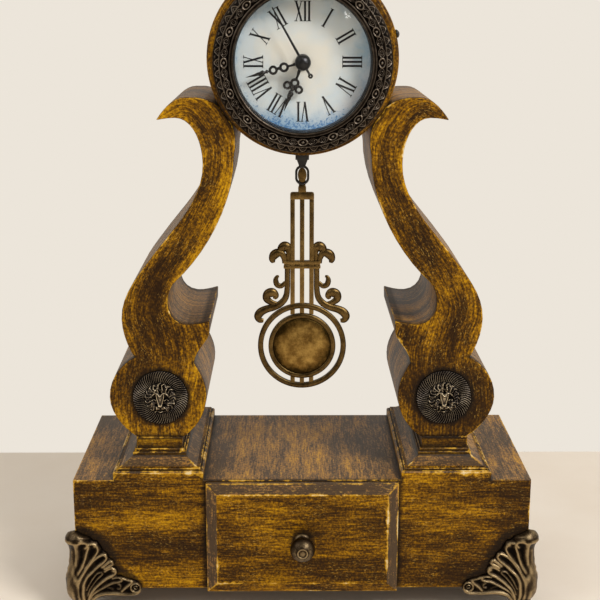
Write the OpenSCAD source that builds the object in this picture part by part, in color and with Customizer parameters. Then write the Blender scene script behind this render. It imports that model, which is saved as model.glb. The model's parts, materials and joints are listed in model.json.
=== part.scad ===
// Table clock: a wooden drum clock held between two lyre scrolls on a box base
// with a drawer. Millimetres, +Z up, the front faces -Y, the origin is on the
// table under the middle of the bounding box.

/* [Base box] */
// Width of the base
base_w = 300; // [270:1:340]
// Depth of the base
base_d = 128; // [120:1:150]
// Height of the base
base_h = 77; // [70:0.5:95]
// Height of the base's underside above the table
foot_rise = 18; // [14:0.5:30]
// Thickness of the base's boards
board_t = 9; // [7:0.5:12]
// Thickness of the back board
back_board_t = 5; // [3:0.5:8]
// Thickness of the walls beside the drawer
divider_t = 6; // [4:0.5:9]

/* [Drawer] */
// Width of the drawer front
drawer_front_w = 126; // [112:1:128]
// How far the drawer front overlaps the opening at each side
drawer_overlap = 6; // [3:0.5:8]
// How far the drawer front ends below the base's top
drawer_top_drop = 0.9; // [0.4:0.1:4]
// How far the drawer front reaches below the base's underside
drawer_front_hang = 0.5; // [0:0.1:2]
// Thickness of the drawer front at its rim
drawer_rim_t = 3.7; // [2.5:0.1:8]
// How far the middle of the drawer front stands out from its rim
drawer_raise = 2.7; // [1:0.1:5]
// Width of the bevel round the drawer front
drawer_bevel = 7; // [3:0.5:12]
// Thickness of the drawer front behind its rim
drawer_inner_t = 6; // [4:0.5:10]
// Length of the drawer box behind the front
drawer_len = 104; // [80:1:110]
// Height of the drawer box's sides
drawer_side_h = 50; // [30:1:55]
// Thickness of the drawer's sides and back
drawer_wall_t = 6; // [4:0.5:9]
// Thickness of the drawer's bottom
drawer_bottom_t = 3; // [2:0.5:6]
// Running gap round the drawer
drawer_gap = 0.4; // [0.2:0.1:1]
// Gap between the closed drawer front and the base
drawer_front_gap = 0.3; // [0.1:0.1:1]
// How far the knob sits below the middle of the drawer front
knob_drop = 0.8; // [0:0.1:5]
// Radius of the knob's ball
knob_ball_r = 8.15; // [6:0.05:11]
// Length of the knob
knob_l = 20; // [17:0.5:26]
// Radius of the knob's base
knob_base_r = 5.6; // [5:0.1:8]
// Radius of the knob's stem
knob_stem_r = 3.6; // [3:0.1:4.8]
// Radius of the knob screw
knob_screw_r = 2; // [1.5:0.1:2.3]
// Length of the knob screw under its head
knob_screw_l = 20; // [15:0.5:24]

/* [Pedestals] */
// Distance of a pedestal's middle from the base's end
pedestal_inset = 55.8; // [54:0.1:58]
// Width of a pedestal at its foot
pedestal_w = 59; // [57:0.5:60]
// Height of a pedestal
pedestal_h = 24.8; // [22:0.1:30]
// Height of the plinth at the pedestal's foot
plinth_h = 6; // [4:0.5:7]
// Inset of the pedestal's block from its plinth
block_inset = 14.4; // [13.5:0.1:15]
// Width of the step on top of the plinth
plinth_step = 2.2; // [1:0.1:3]

/* [Lyres] */
// Depth of a lyre, front to back
lyre_d = 100; // [80:1:104]
// Size of the medallion's two pins
medallion_pin_r = 1.2; // [0.8:0.1:1.5]
// Length of a medallion's pins
medallion_pin_l = 6; // [4:0.5:10]
// Distance of a pin from the medallion's middle
medallion_pin_x = 12; // [8:0.5:14]
// Radius of a medallion
medallion_r = 18.2; // [16:0.1:20]
// Thickness of a medallion's disc
medallion_t = 1.8; // [1.2:0.1:3]
// Radius of the boss behind the mask
mask_r = 9; // [7:0.5:11]
// Height of the mask above the lyre
mask_h = 6; // [4:0.5:8]
// Distance of a medallion's middle inside the pedestal's middle
medallion_shift = 1.6; // [-1:0.1:3]
// Height of a medallion's middle above the pedestal
medallion_rise = 27.7; // [24:0.1:31]
// Radius of a screw that holds a lyre
lyre_screw_r = 2; // [1.5:0.1:3]
// Length of a screw that holds a lyre
lyre_screw_l = 62; // [50:1:70]
// Distance between a lyre's two screws
lyre_screw_gap = 56; // [40:1:70]
// Radius of a screw that holds the drum
drum_screw_r = 1.75; // [1.2:0.05:2.2]
// Length of a drum screw in the lyre
drum_screw_grip = 13; // [8:0.5:16]
// Distance between the two drum screws of a lyre
drum_screw_gap = 32; // [20:1:60]

/* [Drum] */
// Radius of the wooden drum
drum_r = 59; // [58:0.1:60]
// Depth of the drum, front to back
drum_d = 90; // [82:1:98]
// Height of the drum's axis above the base
drum_rise = 269.7; // [269:0.1:271]
// Distance of the drum's face behind the base's front
drum_setback = 12; // [10:0.5:14]
// Thickness of the drum's front wall
drum_front_t = 10.8; // [10:0.1:12]
// Thickness of the drum's round wall
drum_wall = 9.5; // [8:0.1:9.6]
// Rounding of the drum's front edge
drum_edge_r = 3; // [1:0.5:5]
// Drop of the hands' axis below the drum's axis
insert_drop = 1.8; // [0:0.1:2]
// Width of the drum's face round the hole for the bezel
drum_face_w = 11.5; // [11.4:0.1:12]
// Thickness of the drum's back cover
cover_t = 4; // [3:0.5:6]
// Width of the ledge that the back cover sits on
cover_ledge = 5; // [4:0.5:6]
// Radius of a screw in the back cover
cover_screw_r = 1.3; // [1:0.1:1.6]
// Half the width of the slot for the pendulum
slot_half_w = 11; // [10:0.5:14]

/* [Bezel and dial] */
// How far the bezel's edge is inside the drum's edge
bezel_inset = 3.8; // [3:0.1:5]
// Width of the bezel's embossed band
bezel_band_w = 10; // [9.5:0.1:11]
// How far the bezel stands out from the drum
bezel_proud = 8; // [7:0.1:9]
// Width of the bezel's plain inner lip
bezel_lip_w = 3.2; // [2.5:0.1:4]
// How far the bezel holds the glass's edge
glass_hold = 1.5; // [1.2:0.1:1.8]
// Thickness of the glass
glass_t = 2; // [1.5:0.1:2.5]
// Rise of the domed glass over the part that shows
glass_rise = 9; // [8.5:0.1:10]
// Thickness of the dial
dial_t = 0.8; // [0.5:0.1:1.2]
// Distance of the dial behind the drum's face
dial_depth = 7; // [7:0.1:8]
// Thickness of the board behind the dial
dial_board_t = 3; // [2.5:0.1:3.8]
// Radius of the screw in the drum's side
side_screw_r = 1.4; // [1:0.1:2]
// Radius of the head of the screw in the drum's side
side_head_r = 2.6; // [2:0.1:4]

/* [Hands] */
// Length of the minute hand
minute_l = 35.8; // [32:0.1:40]
// Length of the hour hand
hour_l = 31.8; // [28:0.1:34]
// Length of the second hand
second_l = 37.6; // [34:0.1:40]
// Length of the second hand's tail
second_tail = 10.4; // [8:0.1:14]
// Thickness of a hand
hand_t = 0.6; // [0.3:0.1:0.8]
// Radius of the ball over the hands' middle
ball_r = 4.8; // [4:0.1:5.5]
// Minutes shown at rest
rest_minutes = 42.55; // [0:0.05:59]
// Hours shown at rest
rest_hours = 6; // [0:1:11]
// Angle of the second hand at rest, clockwise from twelve
second_angle = 330.4; // [0:0.1:359]

/* [Movement] */
// Side of the movement's square case
movement_w = 56; // [56:0.5:58]
// Thickness of the movement
movement_t = 16; // [16:0.1:17]
// Thickness of the movement's walls
case_wall = 1.4; // [1.2:0.1:1.6]
// Radius of the threaded bush
bush_r = 3.9; // [3.6:0.1:4.2]
// Length of the threaded bush
bush_l = 6.2; // [6:0.1:6.6]
// Radius of the second arbor
second_arbor_r = 1; // [0.8:0.1:1.1]
// Wall of the minute and hour tubes
tube_wall = 0.7; // [0.5:0.05:0.7]
// Running clearance between turning pieces, on radius
run_gap = 0.06; // [0.03:0.01:0.09]
// Gear module of the motion work
motion_m = 0.4; // [0.38:0.01:0.4]
// Gear module of the centre wheel
centre_m = 0.38; // [0.36:0.01:0.39]
// Gear module of the second wheel
second_m = 0.37; // [0.36:0.01:0.38]
// Gear module of the step wheel
step_m = 0.3; // [0.28:0.01:0.3]
// Radius of the battery
battery_r = 7; // [6.8:0.05:7.05]
// Length of the battery
battery_l = 50.5; // [49:0.1:50.5]

/* [Pendulum] */
// Height of the pendulum's pivot above the hands' axis
pivot_rise = 18; // [14:0.5:22]
// Radius of the pendulum's pivot
pivot_r = 2; // [1.5:0.1:2.5]
// Thickness of the hanger
hanger_t = 3; // [2:0.1:4]
// Half the width of the hanger's arm
hanger_half_w = 2.6; // [2:0.1:3]
// Thickness of the pendulum's frame
pendulum_t = 2.4; // [1.5:0.1:3]
// Radius of the pendulum's outer ring
ring_r = 29.5; // [26:0.1:32]
// Width of the pendulum's outer ring
ring_w = 3.6; // [2.5:0.1:5]
// Radius of the ring round the bob
bob_rim_r = 22.1; // [20:0.1:24]
// Radius of the bob's disc
bob_r = 19.3; // [17:0.1:20]
// Thickness of the bob
bob_t = 7; // [4:0.5:10]
// Height of the bob's middle above the base
bob_rise = 79.6; // [70:0.5:90]
// Distance of the frame's top below the drum
frame_drop = 27.2; // [25:0.1:30]
// Distance of the frame's two crossbars above the bob's middle
crossbar_up = 53.4; // [50:0.1:56]
// Distance from the crossbars to the frame's lower scrolls
scroll_drop = 23; // [20:0.1:25]
// Distance of the hanger's eye above the frame's top
eye_up = 11.1; // [10.5:0.1:13]
// Half the height of the hanger's eye
eye_half_h = 6.4; // [5.6:0.1:7]
// Half the width of the hanger's eye
eye_half_w = 4.6; // [4:0.1:5]
// Height of the hanger's flange
flange_h = 4.6; // [3:0.1:6]
// Half the width of the hanger's flange
flange_half_w = 4.4; // [3:0.1:5]
// Gap between the hanger's flange and the drum
flange_gap = 1.6; // [1:0.1:3]
// Half the width of the pendulum's three bars, outside to outside
bars_half_w = 7.8; // [7:0.1:9]
// Width of one bar
bar_w = 3.1; // [2:0.1:3.4]

/* [Feet] */
// How far a foot stands out from the base
foot_out = 8.2; // [6:0.1:10]
// Thickness of a foot's leaf against the base
leaf_t = 4.5; // [3:0.1:6]
// Length of a foot along the base
foot_l = 41.5; // [36:0.5:48]
// Height of a foot's tip above the table
foot_h = 62; // [56:0.5:66]
// Thickness of the shelf under the base
shelf_t = 2.2; // [1.8:0.1:4]
// Radius of a foot's screw
foot_screw_r = 1.5; // [1:0.1:2]

/* [Hidden] */
$fn = 64;

// Colours
ochre = "#8a6212";
brown = "#4a3826";
bronze = "#3a332c";
brass = "#8a6e3a";
black = "#191715";
steel = "#b5b5b0";
plastic = "#2a2c30";

// Clearance of a fixed piece in its hole
fit = 0.05;

// Places, front to back. The whole depth runs from the knob to the back feet.
reach_front = drawer_front_gap + drawer_rim_t + drawer_raise + knob_l;
front_y = (reach_front - base_d - foot_out) / 2;
back_y = front_y + base_d;
mid_y = front_y + base_d / 2;
// Heights
base_z = foot_rise;
top_z = base_z + base_h;
inside_z = base_z + board_t;
ceiling_z = top_z - board_t;
lyre_z = top_z + pedestal_h;
drum_z = top_z + drum_rise;
hands_z = drum_z - insert_drop;

// Drawer
opening_x = drawer_front_w / 2 - drawer_overlap;
drawer_x = opening_x - drawer_gap;
drawer_z = inside_z + drawer_gap;
drawer_top_z = top_z - drawer_top_drop;
drawer_low_z = base_z - drawer_front_hang;
rim_back_y = front_y - drawer_front_gap;
rim_y = rim_back_y - drawer_rim_t;
face_y = rim_y - drawer_raise;
box_y = rim_back_y + drawer_inner_t;
box_back_y = box_y + drawer_len;
knob_z = (drawer_top_z + drawer_low_z) / 2 - knob_drop;

// Lyres and pedestals
pedestal_x = base_w / 2 - pedestal_inset;
lyre_y = mid_y - lyre_d / 2;
lyre_screw_x = pedestal_x - 1;
medallion_x = pedestal_x - medallion_shift;
medallion_z = pedestal_h + medallion_rise;

// Drum, dial and movement, from the edge in
drum_hollow_r = drum_r - drum_wall;
insert_bore_r = drum_r - drum_face_w;
bezel_r = drum_r - bezel_inset;
band_r = bezel_r - bezel_band_w;
sight_r = band_r - bezel_lip_w;
glass_r = sight_r + glass_hold;

// The same, front to back
drum_y = front_y + drum_setback;
drum_back_y = drum_y + drum_d;
bezel_y = drum_y - bezel_proud;
dial_y = drum_y + dial_depth;
board_y = dial_y + dial_t;
case_y = board_y + dial_board_t;
case_back_y = case_y + movement_t;
case_split_y = case_y + 11;
inner_y = case_y + 1.2;
inner_back_y = case_back_y - case_wall;
case_half = movement_w / 2;
glass_radius = (sight_r * sight_r + glass_rise * glass_rise) / (2 * glass_rise);
glass_seat_y = bezel_y + 3.5;
glass_middle_y = glass_seat_y - glass_rise + glass_radius;
sleeve_r = insert_bore_r - 0.2;
sleeve_in_r = glass_r + 0.3;

// Tubes in the middle of the movement
minute_bore_r = second_arbor_r + run_gap;
minute_tube_r = minute_bore_r + tube_wall;
hour_bore_r = minute_tube_r + run_gap;
hour_tube_r = hour_bore_r + tube_wall;
bush_bore_r = hour_tube_r + run_gap;
bush_y = case_y - bush_l;

// Places of the hands, each in front of the one before
hour_hand_y = bush_y - 0.9 - hand_t;
minute_hand_y = hour_hand_y - 1.2 - hand_t;
second_hand_y = minute_hand_y - 1.2 - hand_t;
minute_angle = rest_minutes * 6;
hour_angle = rest_hours * 30 + rest_minutes / 2;

// Numbers of teeth
cannon_n = 12;
motion_n = 36;
motion_pinion_n = 10;
hour_n = 40;
set_n = 12;
second_pinion_n = 8;
third_n = 64;
third_pinion_n = 8;
centre_n = 60;
second_n = 60;
step_pinion_n = 8;
step_n = 32;
rotor_n = 8;

// Centre distances, and the modules of the second gear pair on each
motion_c = (cannon_n + motion_n) / 2 * motion_m;
hour_m = 2 * motion_c / (motion_pinion_n + hour_n);
set_c = (motion_n + set_n) / 2 * motion_m;
third_c = (third_pinion_n + centre_n) / 2 * centre_m;
third_m = 2 * third_c / (second_pinion_n + third_n);
step_c = (second_n + step_pinion_n) / 2 * second_m;
rotor_c = (step_n + rotor_n) / 2 * step_m;

// Directions from one axis to the next, seen from the front
motion_dir = 20;
third_dir = 157;
step_dir = 75;
rotor_dir = 20;
function polar(r, a) = [r * cos(a), r * sin(a)];
motion_at = polar(motion_c, motion_dir);
set_at = motion_at + polar(set_c, motion_dir);
third_at = polar(third_c, third_dir);
step_at = polar(step_c, step_dir);
rotor_at = step_at + polar(rotor_c, rotor_dir);

// Places of the wheels, front to back
hour_wheel_y = inner_y + 0.4;
cannon_y = hour_wheel_y + 1.6;
centre_wheel_y = cannon_y + 2.6;
second_pinion_y = centre_wheel_y + 2;
second_wheel_y = second_pinion_y + 2;
step_wheel_y = second_wheel_y + 1.5;

// Pendulum
hanger_y = case_back_y + 1.2;
pendulum_y = hanger_y + hanger_t / 2;
pivot_z = hands_z + pivot_rise;
bob_z = top_z + bob_rise;
drum_low_z = drum_z - drum_r;
frame_top_z = drum_low_z - frame_drop;
eye_z = frame_top_z + eye_up;
flange_z = drum_low_z - flange_gap - flange_h;
crossbar_z = bob_z + crossbar_up;
lower_slot_z = crossbar_z - scroll_drop;

// Feet
foot_screw_at = [[22, 6], [6, 22]];

// A flat shape drawn in x and z, made into a piece between two depths
module plate(y0, y1) {
    translate([0, y1, 0]) rotate([90, 0, 0]) linear_extrude(y1 - y0) children();
}
module rod(r, y0, y1, at = [0, 0]) {
    plate(y0, y1) translate(at) circle(r);
}
// A round shape about an axis along Y, drawn as radius and depth
module turned(at = [0, 0]) {
    translate([at[0], 0, at[1]]) rotate([-90, 0, 0]) rotate_extrude($fn = 96) children();
}
module box(x0, x1, y0, y1, z0, z1) {
    translate([x0, y0, z0]) cube([x1 - x0, y1 - y0, z1 - z0]);
}
module both_sides() {
    children();
    mirror([1, 0, 0]) children();
}
// Points on a cubic curve, without its last point
function bezier(a, b, c, d, n = 7) = [for (i = [0:n - 1]) let (t = i / n, s = 1 - t)
    s * s * s * a + 3 * s * s * t * b + 3 * s * t * t * c + t * t * t * d];

// A toothed wheel with one tooth on the +X side, turned by phase
module gear(teeth, m, phase = 0) {
    pitch_r = teeth * m / 2;
    step = 360 / teeth;
    rotate(phase) polygon([for (i = [0:teeth - 1]) for (p = [
        [pitch_r - 1.15 * m, -0.29], [pitch_r + 0.8 * m, -0.11],
        [pitch_r + 0.8 * m, 0.11], [pitch_r - 1.15 * m, 0.29]])
        polar(p[0], (i + p[1]) * step)]);
}
// The phase that puts the second wheel's gap on the first wheel's tooth
function mesh(dir, phase_a, teeth_a, teeth_b) =
    dir + 180 - 180 / teeth_b + (dir - phase_a) * teeth_a / teeth_b;
motion_phase = mesh(motion_dir, 0, cannon_n, motion_n);
hour_phase = mesh(motion_dir + 180, 0, motion_pinion_n, hour_n);
set_phase = mesh(motion_dir, motion_phase, motion_n, set_n);
third_phase = mesh(third_dir, 0, second_pinion_n, third_n);
centre_phase = mesh(third_dir + 180, 0, third_pinion_n, centre_n);
step_phase = mesh(step_dir, 0, second_n, step_pinion_n);
rotor_phase = mesh(rotor_dir, 0, step_n, rotor_n);

// Base box
module base_top_board() {
    color(ochre) difference() {
        box(-base_w / 2, base_w / 2, front_y, back_y, ceiling_z, top_z);
        lyre_screw_holes(ceiling_z - 1, top_z + 1);
    }
}
module base_bottom_board() {
    color(brown) difference() {
        box(-base_w / 2, base_w / 2, front_y, back_y, base_z, inside_z);
        at_each_foot() foot_screw_rods(foot_screw_r + fit, base_z - 1, base_z + 7 + fit);
    }
}
module base_side() {
    color(ochre) box(-base_w / 2, board_t - base_w / 2, front_y, back_y, inside_z, ceiling_z);
}
module base_side_left() { base_side(); }
module base_side_right() { mirror([1, 0, 0]) base_side(); }
module base_back_board() {
    side = base_w / 2 - board_t;
    color(brown) box(-side, side, back_y - back_board_t, back_y, inside_z, ceiling_z);
}
module base_front() {
    color(ochre) box(board_t - base_w / 2, -opening_x, front_y, front_y + board_t, inside_z, ceiling_z);
}
module base_front_left() { base_front(); }
module base_front_right() { mirror([1, 0, 0]) base_front(); }
module drawer_divider() {
    color(brown) box(-opening_x - divider_t, -opening_x, front_y + board_t, back_y - back_board_t,
        inside_z, ceiling_z);
}
module drawer_divider_left() { drawer_divider(); }
module drawer_divider_right() { mirror([1, 0, 0]) drawer_divider(); }

// Pedestals. The moulding runs round all four sides, so it is drawn once as
// inset and height, and the two extrusions that cross mitre its corners.
cove_top = pedestal_h - 11.8;
moulding = concat(
    [[0, 0], [0, plinth_h - 1.2], [1, plinth_h], [plinth_step, plinth_h],
        [plinth_step, plinth_h + 1.4]],
    bezier([plinth_step + 0.7, plinth_h + 1.4], [plinth_step + 4, plinth_h + 2.2],
        [block_inset - 5.5, cove_top - 3], [block_inset - 2.4, cove_top], 6),
    [[block_inset - 2.4, cove_top], [block_inset - 2.4, cove_top + 2.2],
        [block_inset - 1.3, cove_top + 2.2], [block_inset - 1.3, cove_top + 4.2],
        [block_inset, cove_top + 4.2], [block_inset, pedestal_h]]);
module moulded(half) {
    polygon(concat([for (p = moulding) [half - p[0], p[1]]],
        [for (i = [len(moulding) - 1:-1:0]) [moulding[i][0] - half, moulding[i][1]]]));
}
module pedestal() {
    color(ochre) difference() {
        translate([-pedestal_x, mid_y, top_z]) intersection() {
            translate([0, base_d / 2, 0]) rotate([90, 0, 0])
                linear_extrude(base_d) moulded(pedestal_w / 2);
            translate([-pedestal_w / 2, 0, 0]) rotate([90, 0, 90])
                linear_extrude(pedestal_w) moulded(base_d / 2);
        }
        lyre_screw_holes(top_z - 1, lyre_z + 1);
    }
}
module pedestal_left() { pedestal(); }
module pedestal_right() { mirror([1, 0, 0]) pedestal(); }

// Screws that come up through the base and the pedestals into the lyres
module lyre_screw_rods(r, z0, z1) {
    for (side = [-1, 1], end = [-1, 1])
        translate([side * lyre_screw_x, mid_y + end * lyre_screw_gap / 2, z0]) cylinder(r = r, h = z1 - z0);
}
module lyre_screw_holes(z0, z1) { lyre_screw_rods(lyre_screw_r + fit, z0, z1); }
module lyre_screws() {
    color(steel) {
        lyre_screw_rods(lyre_screw_r, ceiling_z - 0.5, ceiling_z + lyre_screw_l);
        lyre_screw_rods(lyre_screw_r * 2, ceiling_z - 2.5, ceiling_z);
    }
}

// Lyre outline for the side with positive x. Its points are measured from the
// clock's middle and the base's top, and the tip, spike, waist and neck are
// the corners where two curves meet. They are drawn for these places of the
// pedestal and the drum, and lean with the pedestal when it moves.
drawn_pedestal = [94.2, 24.8];
drawn_drum_rise = 269.7;
drawn_tip_z = 232.5;
lyre_scale = drum_rise / drawn_drum_rise;
lyre_lean = [pedestal_x, pedestal_h] - lyre_scale * drawn_pedestal;
function lyre_at(p) = lyre_scale * p
    + lyre_lean * max(0, (drawn_tip_z - p[1]) / (drawn_tip_z - drawn_pedestal[1]));
tip = [91, drawn_tip_z];
crown = [72.8, 246.5];
shoulder = [43, 210];
hook_start = [81.8, 129.3];
hook_end = [74.4, 101.3];
spike = [59.8, 103.8];
spike_low = [60.1, 96];
waist_in = [70.3, 75.4];
bulb_in = [62.7, 54];
neck_in = [78.4, drawn_pedestal[1]];
neck_out = [108.6, drawn_pedestal[1]];
bulb_out = [126, 52];
waist_out = [109, 79.6];
hip = [116.5, 105];
thigh = [93.1, 149.6];
breast = [62.5, 205.1];
beak = [79.3, 233.9];
lyre_outline = concat(
    bezier(tip, [86, 240], [80, 246.5], crown),
    bezier(crown, [50, 248.5], [38, 230], shoulder, 10),
    bezier(shoulder, [43, 180], [62, 147], hook_start, 10),
    bezier(hook_start, [88.5, 123], [90, 103], hook_end, 9),
    bezier(hook_end, [69.5, 101], [64, 102.5], spike, 4),
    [spike],
    bezier(spike_low, [60.5, 90], [70, 84], waist_in, 6),
    bezier(waist_in, [67.5, 70.5], [62.8, 63], bulb_in, 6),
    bezier(bulb_in, [62.5, 42], [69, 31], neck_in),
    [neck_in],
    bezier(neck_out, [117, 30], [126, 41], bulb_out),
    bezier(bulb_out, [126, 65], [118, 74.5], waist_out),
    bezier(waist_out, [113, 86], [116.5, 96], hip, 5),
    bezier(hip, [116.5, 122], [104, 135], thigh, 8),
    bezier(thigh, [80, 166], [62.5, 184], breast, 10),
    bezier(breast, [62.5, 220], [69, 234], beak, 9),
    bezier(beak, [84, 234], [88, 233], tip, 3));
module lyre() {
    color(ochre) mirror([1, 0, 0]) difference() {
        plate(lyre_y, lyre_y + lyre_d) translate([0, top_z]) polygon([for (p = lyre_outline) lyre_at(p)]);
        rod(drum_r, lyre_y - 1, lyre_y + lyre_d + 1, [0, drum_z], $fn = 128);
        lyre_screw_holes(lyre_z - 1, ceiling_z + lyre_screw_l + 0.5);
        medallion_pins(medallion_pin_r + fit, medallion_pin_l + 0.5);
        drum_screw_rods(drum_screw_r + fit, drum_r - 1, drum_r + drum_screw_grip + 0.5);
    }
}
module lyre_left() { lyre(); }
module lyre_right() { mirror([1, 0, 0]) lyre(); }

// Medallions: a thin disc with a raised boss that carries the mask
module medallion_pins(r, l) {
    for (side = [-1, 1])
        rod(r, lyre_y - 0.5, lyre_y + l, [medallion_x + side * medallion_pin_x, top_z + medallion_z]);
}
module medallion() {
    disc_y = lyre_y - medallion_t;
    color(bronze) mirror([1, 0, 0]) {
        turned([medallion_x, top_z + medallion_z]) polygon(concat(
            [[0, lyre_y], [medallion_r, lyre_y], [medallion_r, lyre_y - medallion_t * 0.6],
                [medallion_r - 0.9, disc_y]],
            bezier([mask_r + 1.5, disc_y], [mask_r, disc_y - 1], [mask_r - 1, lyre_y - mask_h],
                [0, lyre_y - mask_h], 8), [[0, lyre_y - mask_h]]));
        medallion_pins(medallion_pin_r, medallion_pin_l);
    }
}
module medallion_left() { medallion(); }
module medallion_right() { mirror([1, 0, 0]) medallion(); }

// Screws from inside the drum into the lyres, square to the seat
drum_screw_dir = -34.5;
module drum_screw_rods(r, r0, r1) {
    for (end = [-1, 1]) translate([0, mid_y + end * drum_screw_gap / 2, drum_z])
        rotate([0, 90 - drum_screw_dir, 0])
            translate([0, 0, r0]) cylinder(r = r, h = r1 - r0);
}
module drum_screws() {
    color(steel) both_sides() {
        drum_screw_rods(drum_screw_r, drum_hollow_r - 1.5, drum_r + drum_screw_grip);
        drum_screw_rods(drum_screw_r * 2, drum_hollow_r - 3.4, drum_hollow_r - 1.4);
    }
}

// Feet. Each has a leaf on two faces of the base, drawn as the distance from
// the corner and the height, a thick corner that stands on the table and a
// shelf that is screwed up into the bottom board.
leaf_drawn = [41.5, 62];
function foot_scale(p) = [p[0] * foot_l / leaf_drawn[0], p[1] * foot_h / leaf_drawn[1]];
corner_outline = concat(
    [[0, foot_h]],
    bezier([-foot_out + 1.7, foot_h - 5.7], [-foot_out + 3.6, foot_h - 9], [-foot_out + 5.6, foot_h - 14],
        [-foot_out + 4, foot_h - 24], 6),
    bezier([-foot_out + 4, foot_h - 24], [-foot_out + 2.4, foot_h - 31], [-foot_out, foot_h - 36],
        [-foot_out, foot_h - 43], 5),
    bezier([-foot_out, foot_h - 43], [-foot_out, 13], [-foot_out + 1.8, 9], [-foot_out + 1.4, 4], 5),
    [[-foot_out + 1.4, 4], [-foot_out + 0.6, 0], [8, 0], [7.4, 4], [9, foot_rise - 3],
        [12, foot_h - 34], [9, foot_h - 8]]);
leaf_lobes = [[6.5, 56.6, 3.8], [13, 52.4, 4.2], [18.2, 46.2, 4.2], [21.8, 39.4, 4.2],
    [23.8, 33, 4], [29, 26.6, 4.3], [35.2, 22.6, 4.2], [37.2, 19.6, 4.3]];
leaf_low = [[0, foot_h - 2], [2, foot_h - 1.6], [6, 57], [12, 53], [17.5, 46.5], [21, 39.5], [23, 33],
    [28, 27.5], [37, 20]];
module leaf() {
    polygon(concat([leaf_low[0]], [for (i = [1:len(leaf_low) - 1]) foot_scale(leaf_low[i])],
        [[foot_l - 2.6, foot_rise - shelf_t], [9, foot_rise - shelf_t], [0, foot_rise - shelf_t]]));
    for (l = leaf_lobes) translate(foot_scale([l[0], l[1]])) circle(l[2], $fn = 32);
}
// One foot at a corner, with x and y running in along the base's two faces
module foot_body() {
    difference() {
        union() {
            intersection() {
                rotate([90, 0, 0]) translate([0, 0, -40]) linear_extrude(60) polygon(corner_outline);
                mirror([1, -1, 0]) rotate([90, 0, 0]) translate([0, 0, -40])
                    linear_extrude(60) polygon(corner_outline);
                translate([8, 8, 0]) cylinder(r = foot_out + 9.6, h = foot_h + 1, $fn = 96);
            }
            rotate([90, 0, 0]) linear_extrude(leaf_t) leaf();
            mirror([1, -1, 0]) rotate([90, 0, 0]) linear_extrude(leaf_t) leaf();
            translate([-leaf_t, -leaf_t, foot_rise - shelf_t]) cube([34 + leaf_t, 12 + leaf_t, shelf_t]);
            translate([-leaf_t, -leaf_t, foot_rise - shelf_t]) cube([12 + leaf_t, 34 + leaf_t, shelf_t]);
        }
        translate([0, 0, foot_rise]) cube(80);
        for (p = foot_screw_at) translate([p[0], p[1], 0]) cylinder(r = foot_screw_r + fit, h = foot_rise + 1);
    }
}
module foot_screw_rods(r, z0, z1) {
    for (p = foot_screw_at) translate([p[0], p[1], z0]) cylinder(r = r, h = z1 - z0, $fn = 32);
}
module front_left() { translate([-base_w / 2, front_y, 0]) children(); }
module back_left() { translate([0, 2 * mid_y, 0]) mirror([0, 1, 0]) front_left() children(); }
module at_each_foot() {
    both_sides() {
        front_left() children();
        back_left() children();
    }
}
module foot_front_left() { color(bronze) front_left() foot_body(); }
module foot_front_right() { color(bronze) mirror([1, 0, 0]) front_left() foot_body(); }
module foot_back_left() { color(bronze) back_left() foot_body(); }
module foot_back_right() { color(bronze) mirror([1, 0, 0]) back_left() foot_body(); }
module foot_screws() {
    head_z = foot_rise - shelf_t;
    color(steel) at_each_foot() {
        foot_screw_rods(foot_screw_r, head_z - 0.5, base_z + 7);
        foot_screw_rods(foot_screw_r * 1.9, head_z - 1.6, head_z);
    }
}

// Drum
cavity_y = drum_y + drum_front_t;
front_in_r = insert_bore_r - 7.5;
ledge_y = drum_back_y - cover_t;
ledge_r = drum_hollow_r + cover_ledge;
cover_screw_at = [for (a = [90, 210, 330]) polar(drum_hollow_r + cover_ledge / 2, a)];
module drum_case() {
    color(ochre) difference() {
        turned([0, drum_z]) polygon(concat(
            [[front_in_r, drum_y], [drum_r - drum_edge_r, drum_y]],
            [for (a = [-75:15:-15]) [drum_r - drum_edge_r, drum_y + drum_edge_r]
                + drum_edge_r * [cos(a), sin(a)]],
            [[drum_r, drum_y + drum_edge_r], [drum_r, drum_back_y - 1], [drum_r - 1, drum_back_y],
                [ledge_r, drum_back_y], [ledge_r, ledge_y], [drum_hollow_r, ledge_y],
                [drum_hollow_r, cavity_y], [front_in_r, cavity_y]]));
        rod(insert_bore_r, drum_y - 1, cavity_y + 1, [0, hands_z], $fn = 96);
        box(-slot_half_w, slot_half_w, hanger_y - 1.5, hanger_back_y + 1.5, drum_low_z - 2,
            drum_low_z + 2 * drum_wall);
        both_sides() drum_screw_rods(drum_screw_r + fit, drum_hollow_r - 2, drum_r + 1);
        side_screw_rod(side_screw_r + fit, insert_bore_r - 2, drum_r + 1);
        for (p = cover_screw_at)
            rod(cover_screw_r + fit, ledge_y - 11, ledge_y + 1, [p[0], drum_z + p[1]], $fn = 32);
    }
}
module drum_back_cover() {
    color(brown) difference() {
        rod(ledge_r - 0.2, ledge_y, drum_back_y, [0, drum_z], $fn = 96);
        for (p = cover_screw_at)
            rod(cover_screw_r + fit, ledge_y - 1, drum_back_y + 1, [p[0], drum_z + p[1]], $fn = 32);
    }
}
module back_cover_screws() {
    color(steel) for (p = cover_screw_at) {
        rod(cover_screw_r, ledge_y - 10, drum_back_y + 0.5, [p[0], drum_z + p[1]], $fn = 32);
        rod(cover_screw_r * 1.8, drum_back_y, drum_back_y + 1.4, [p[0], drum_z + p[1]], $fn = 32);
    }
}

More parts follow.
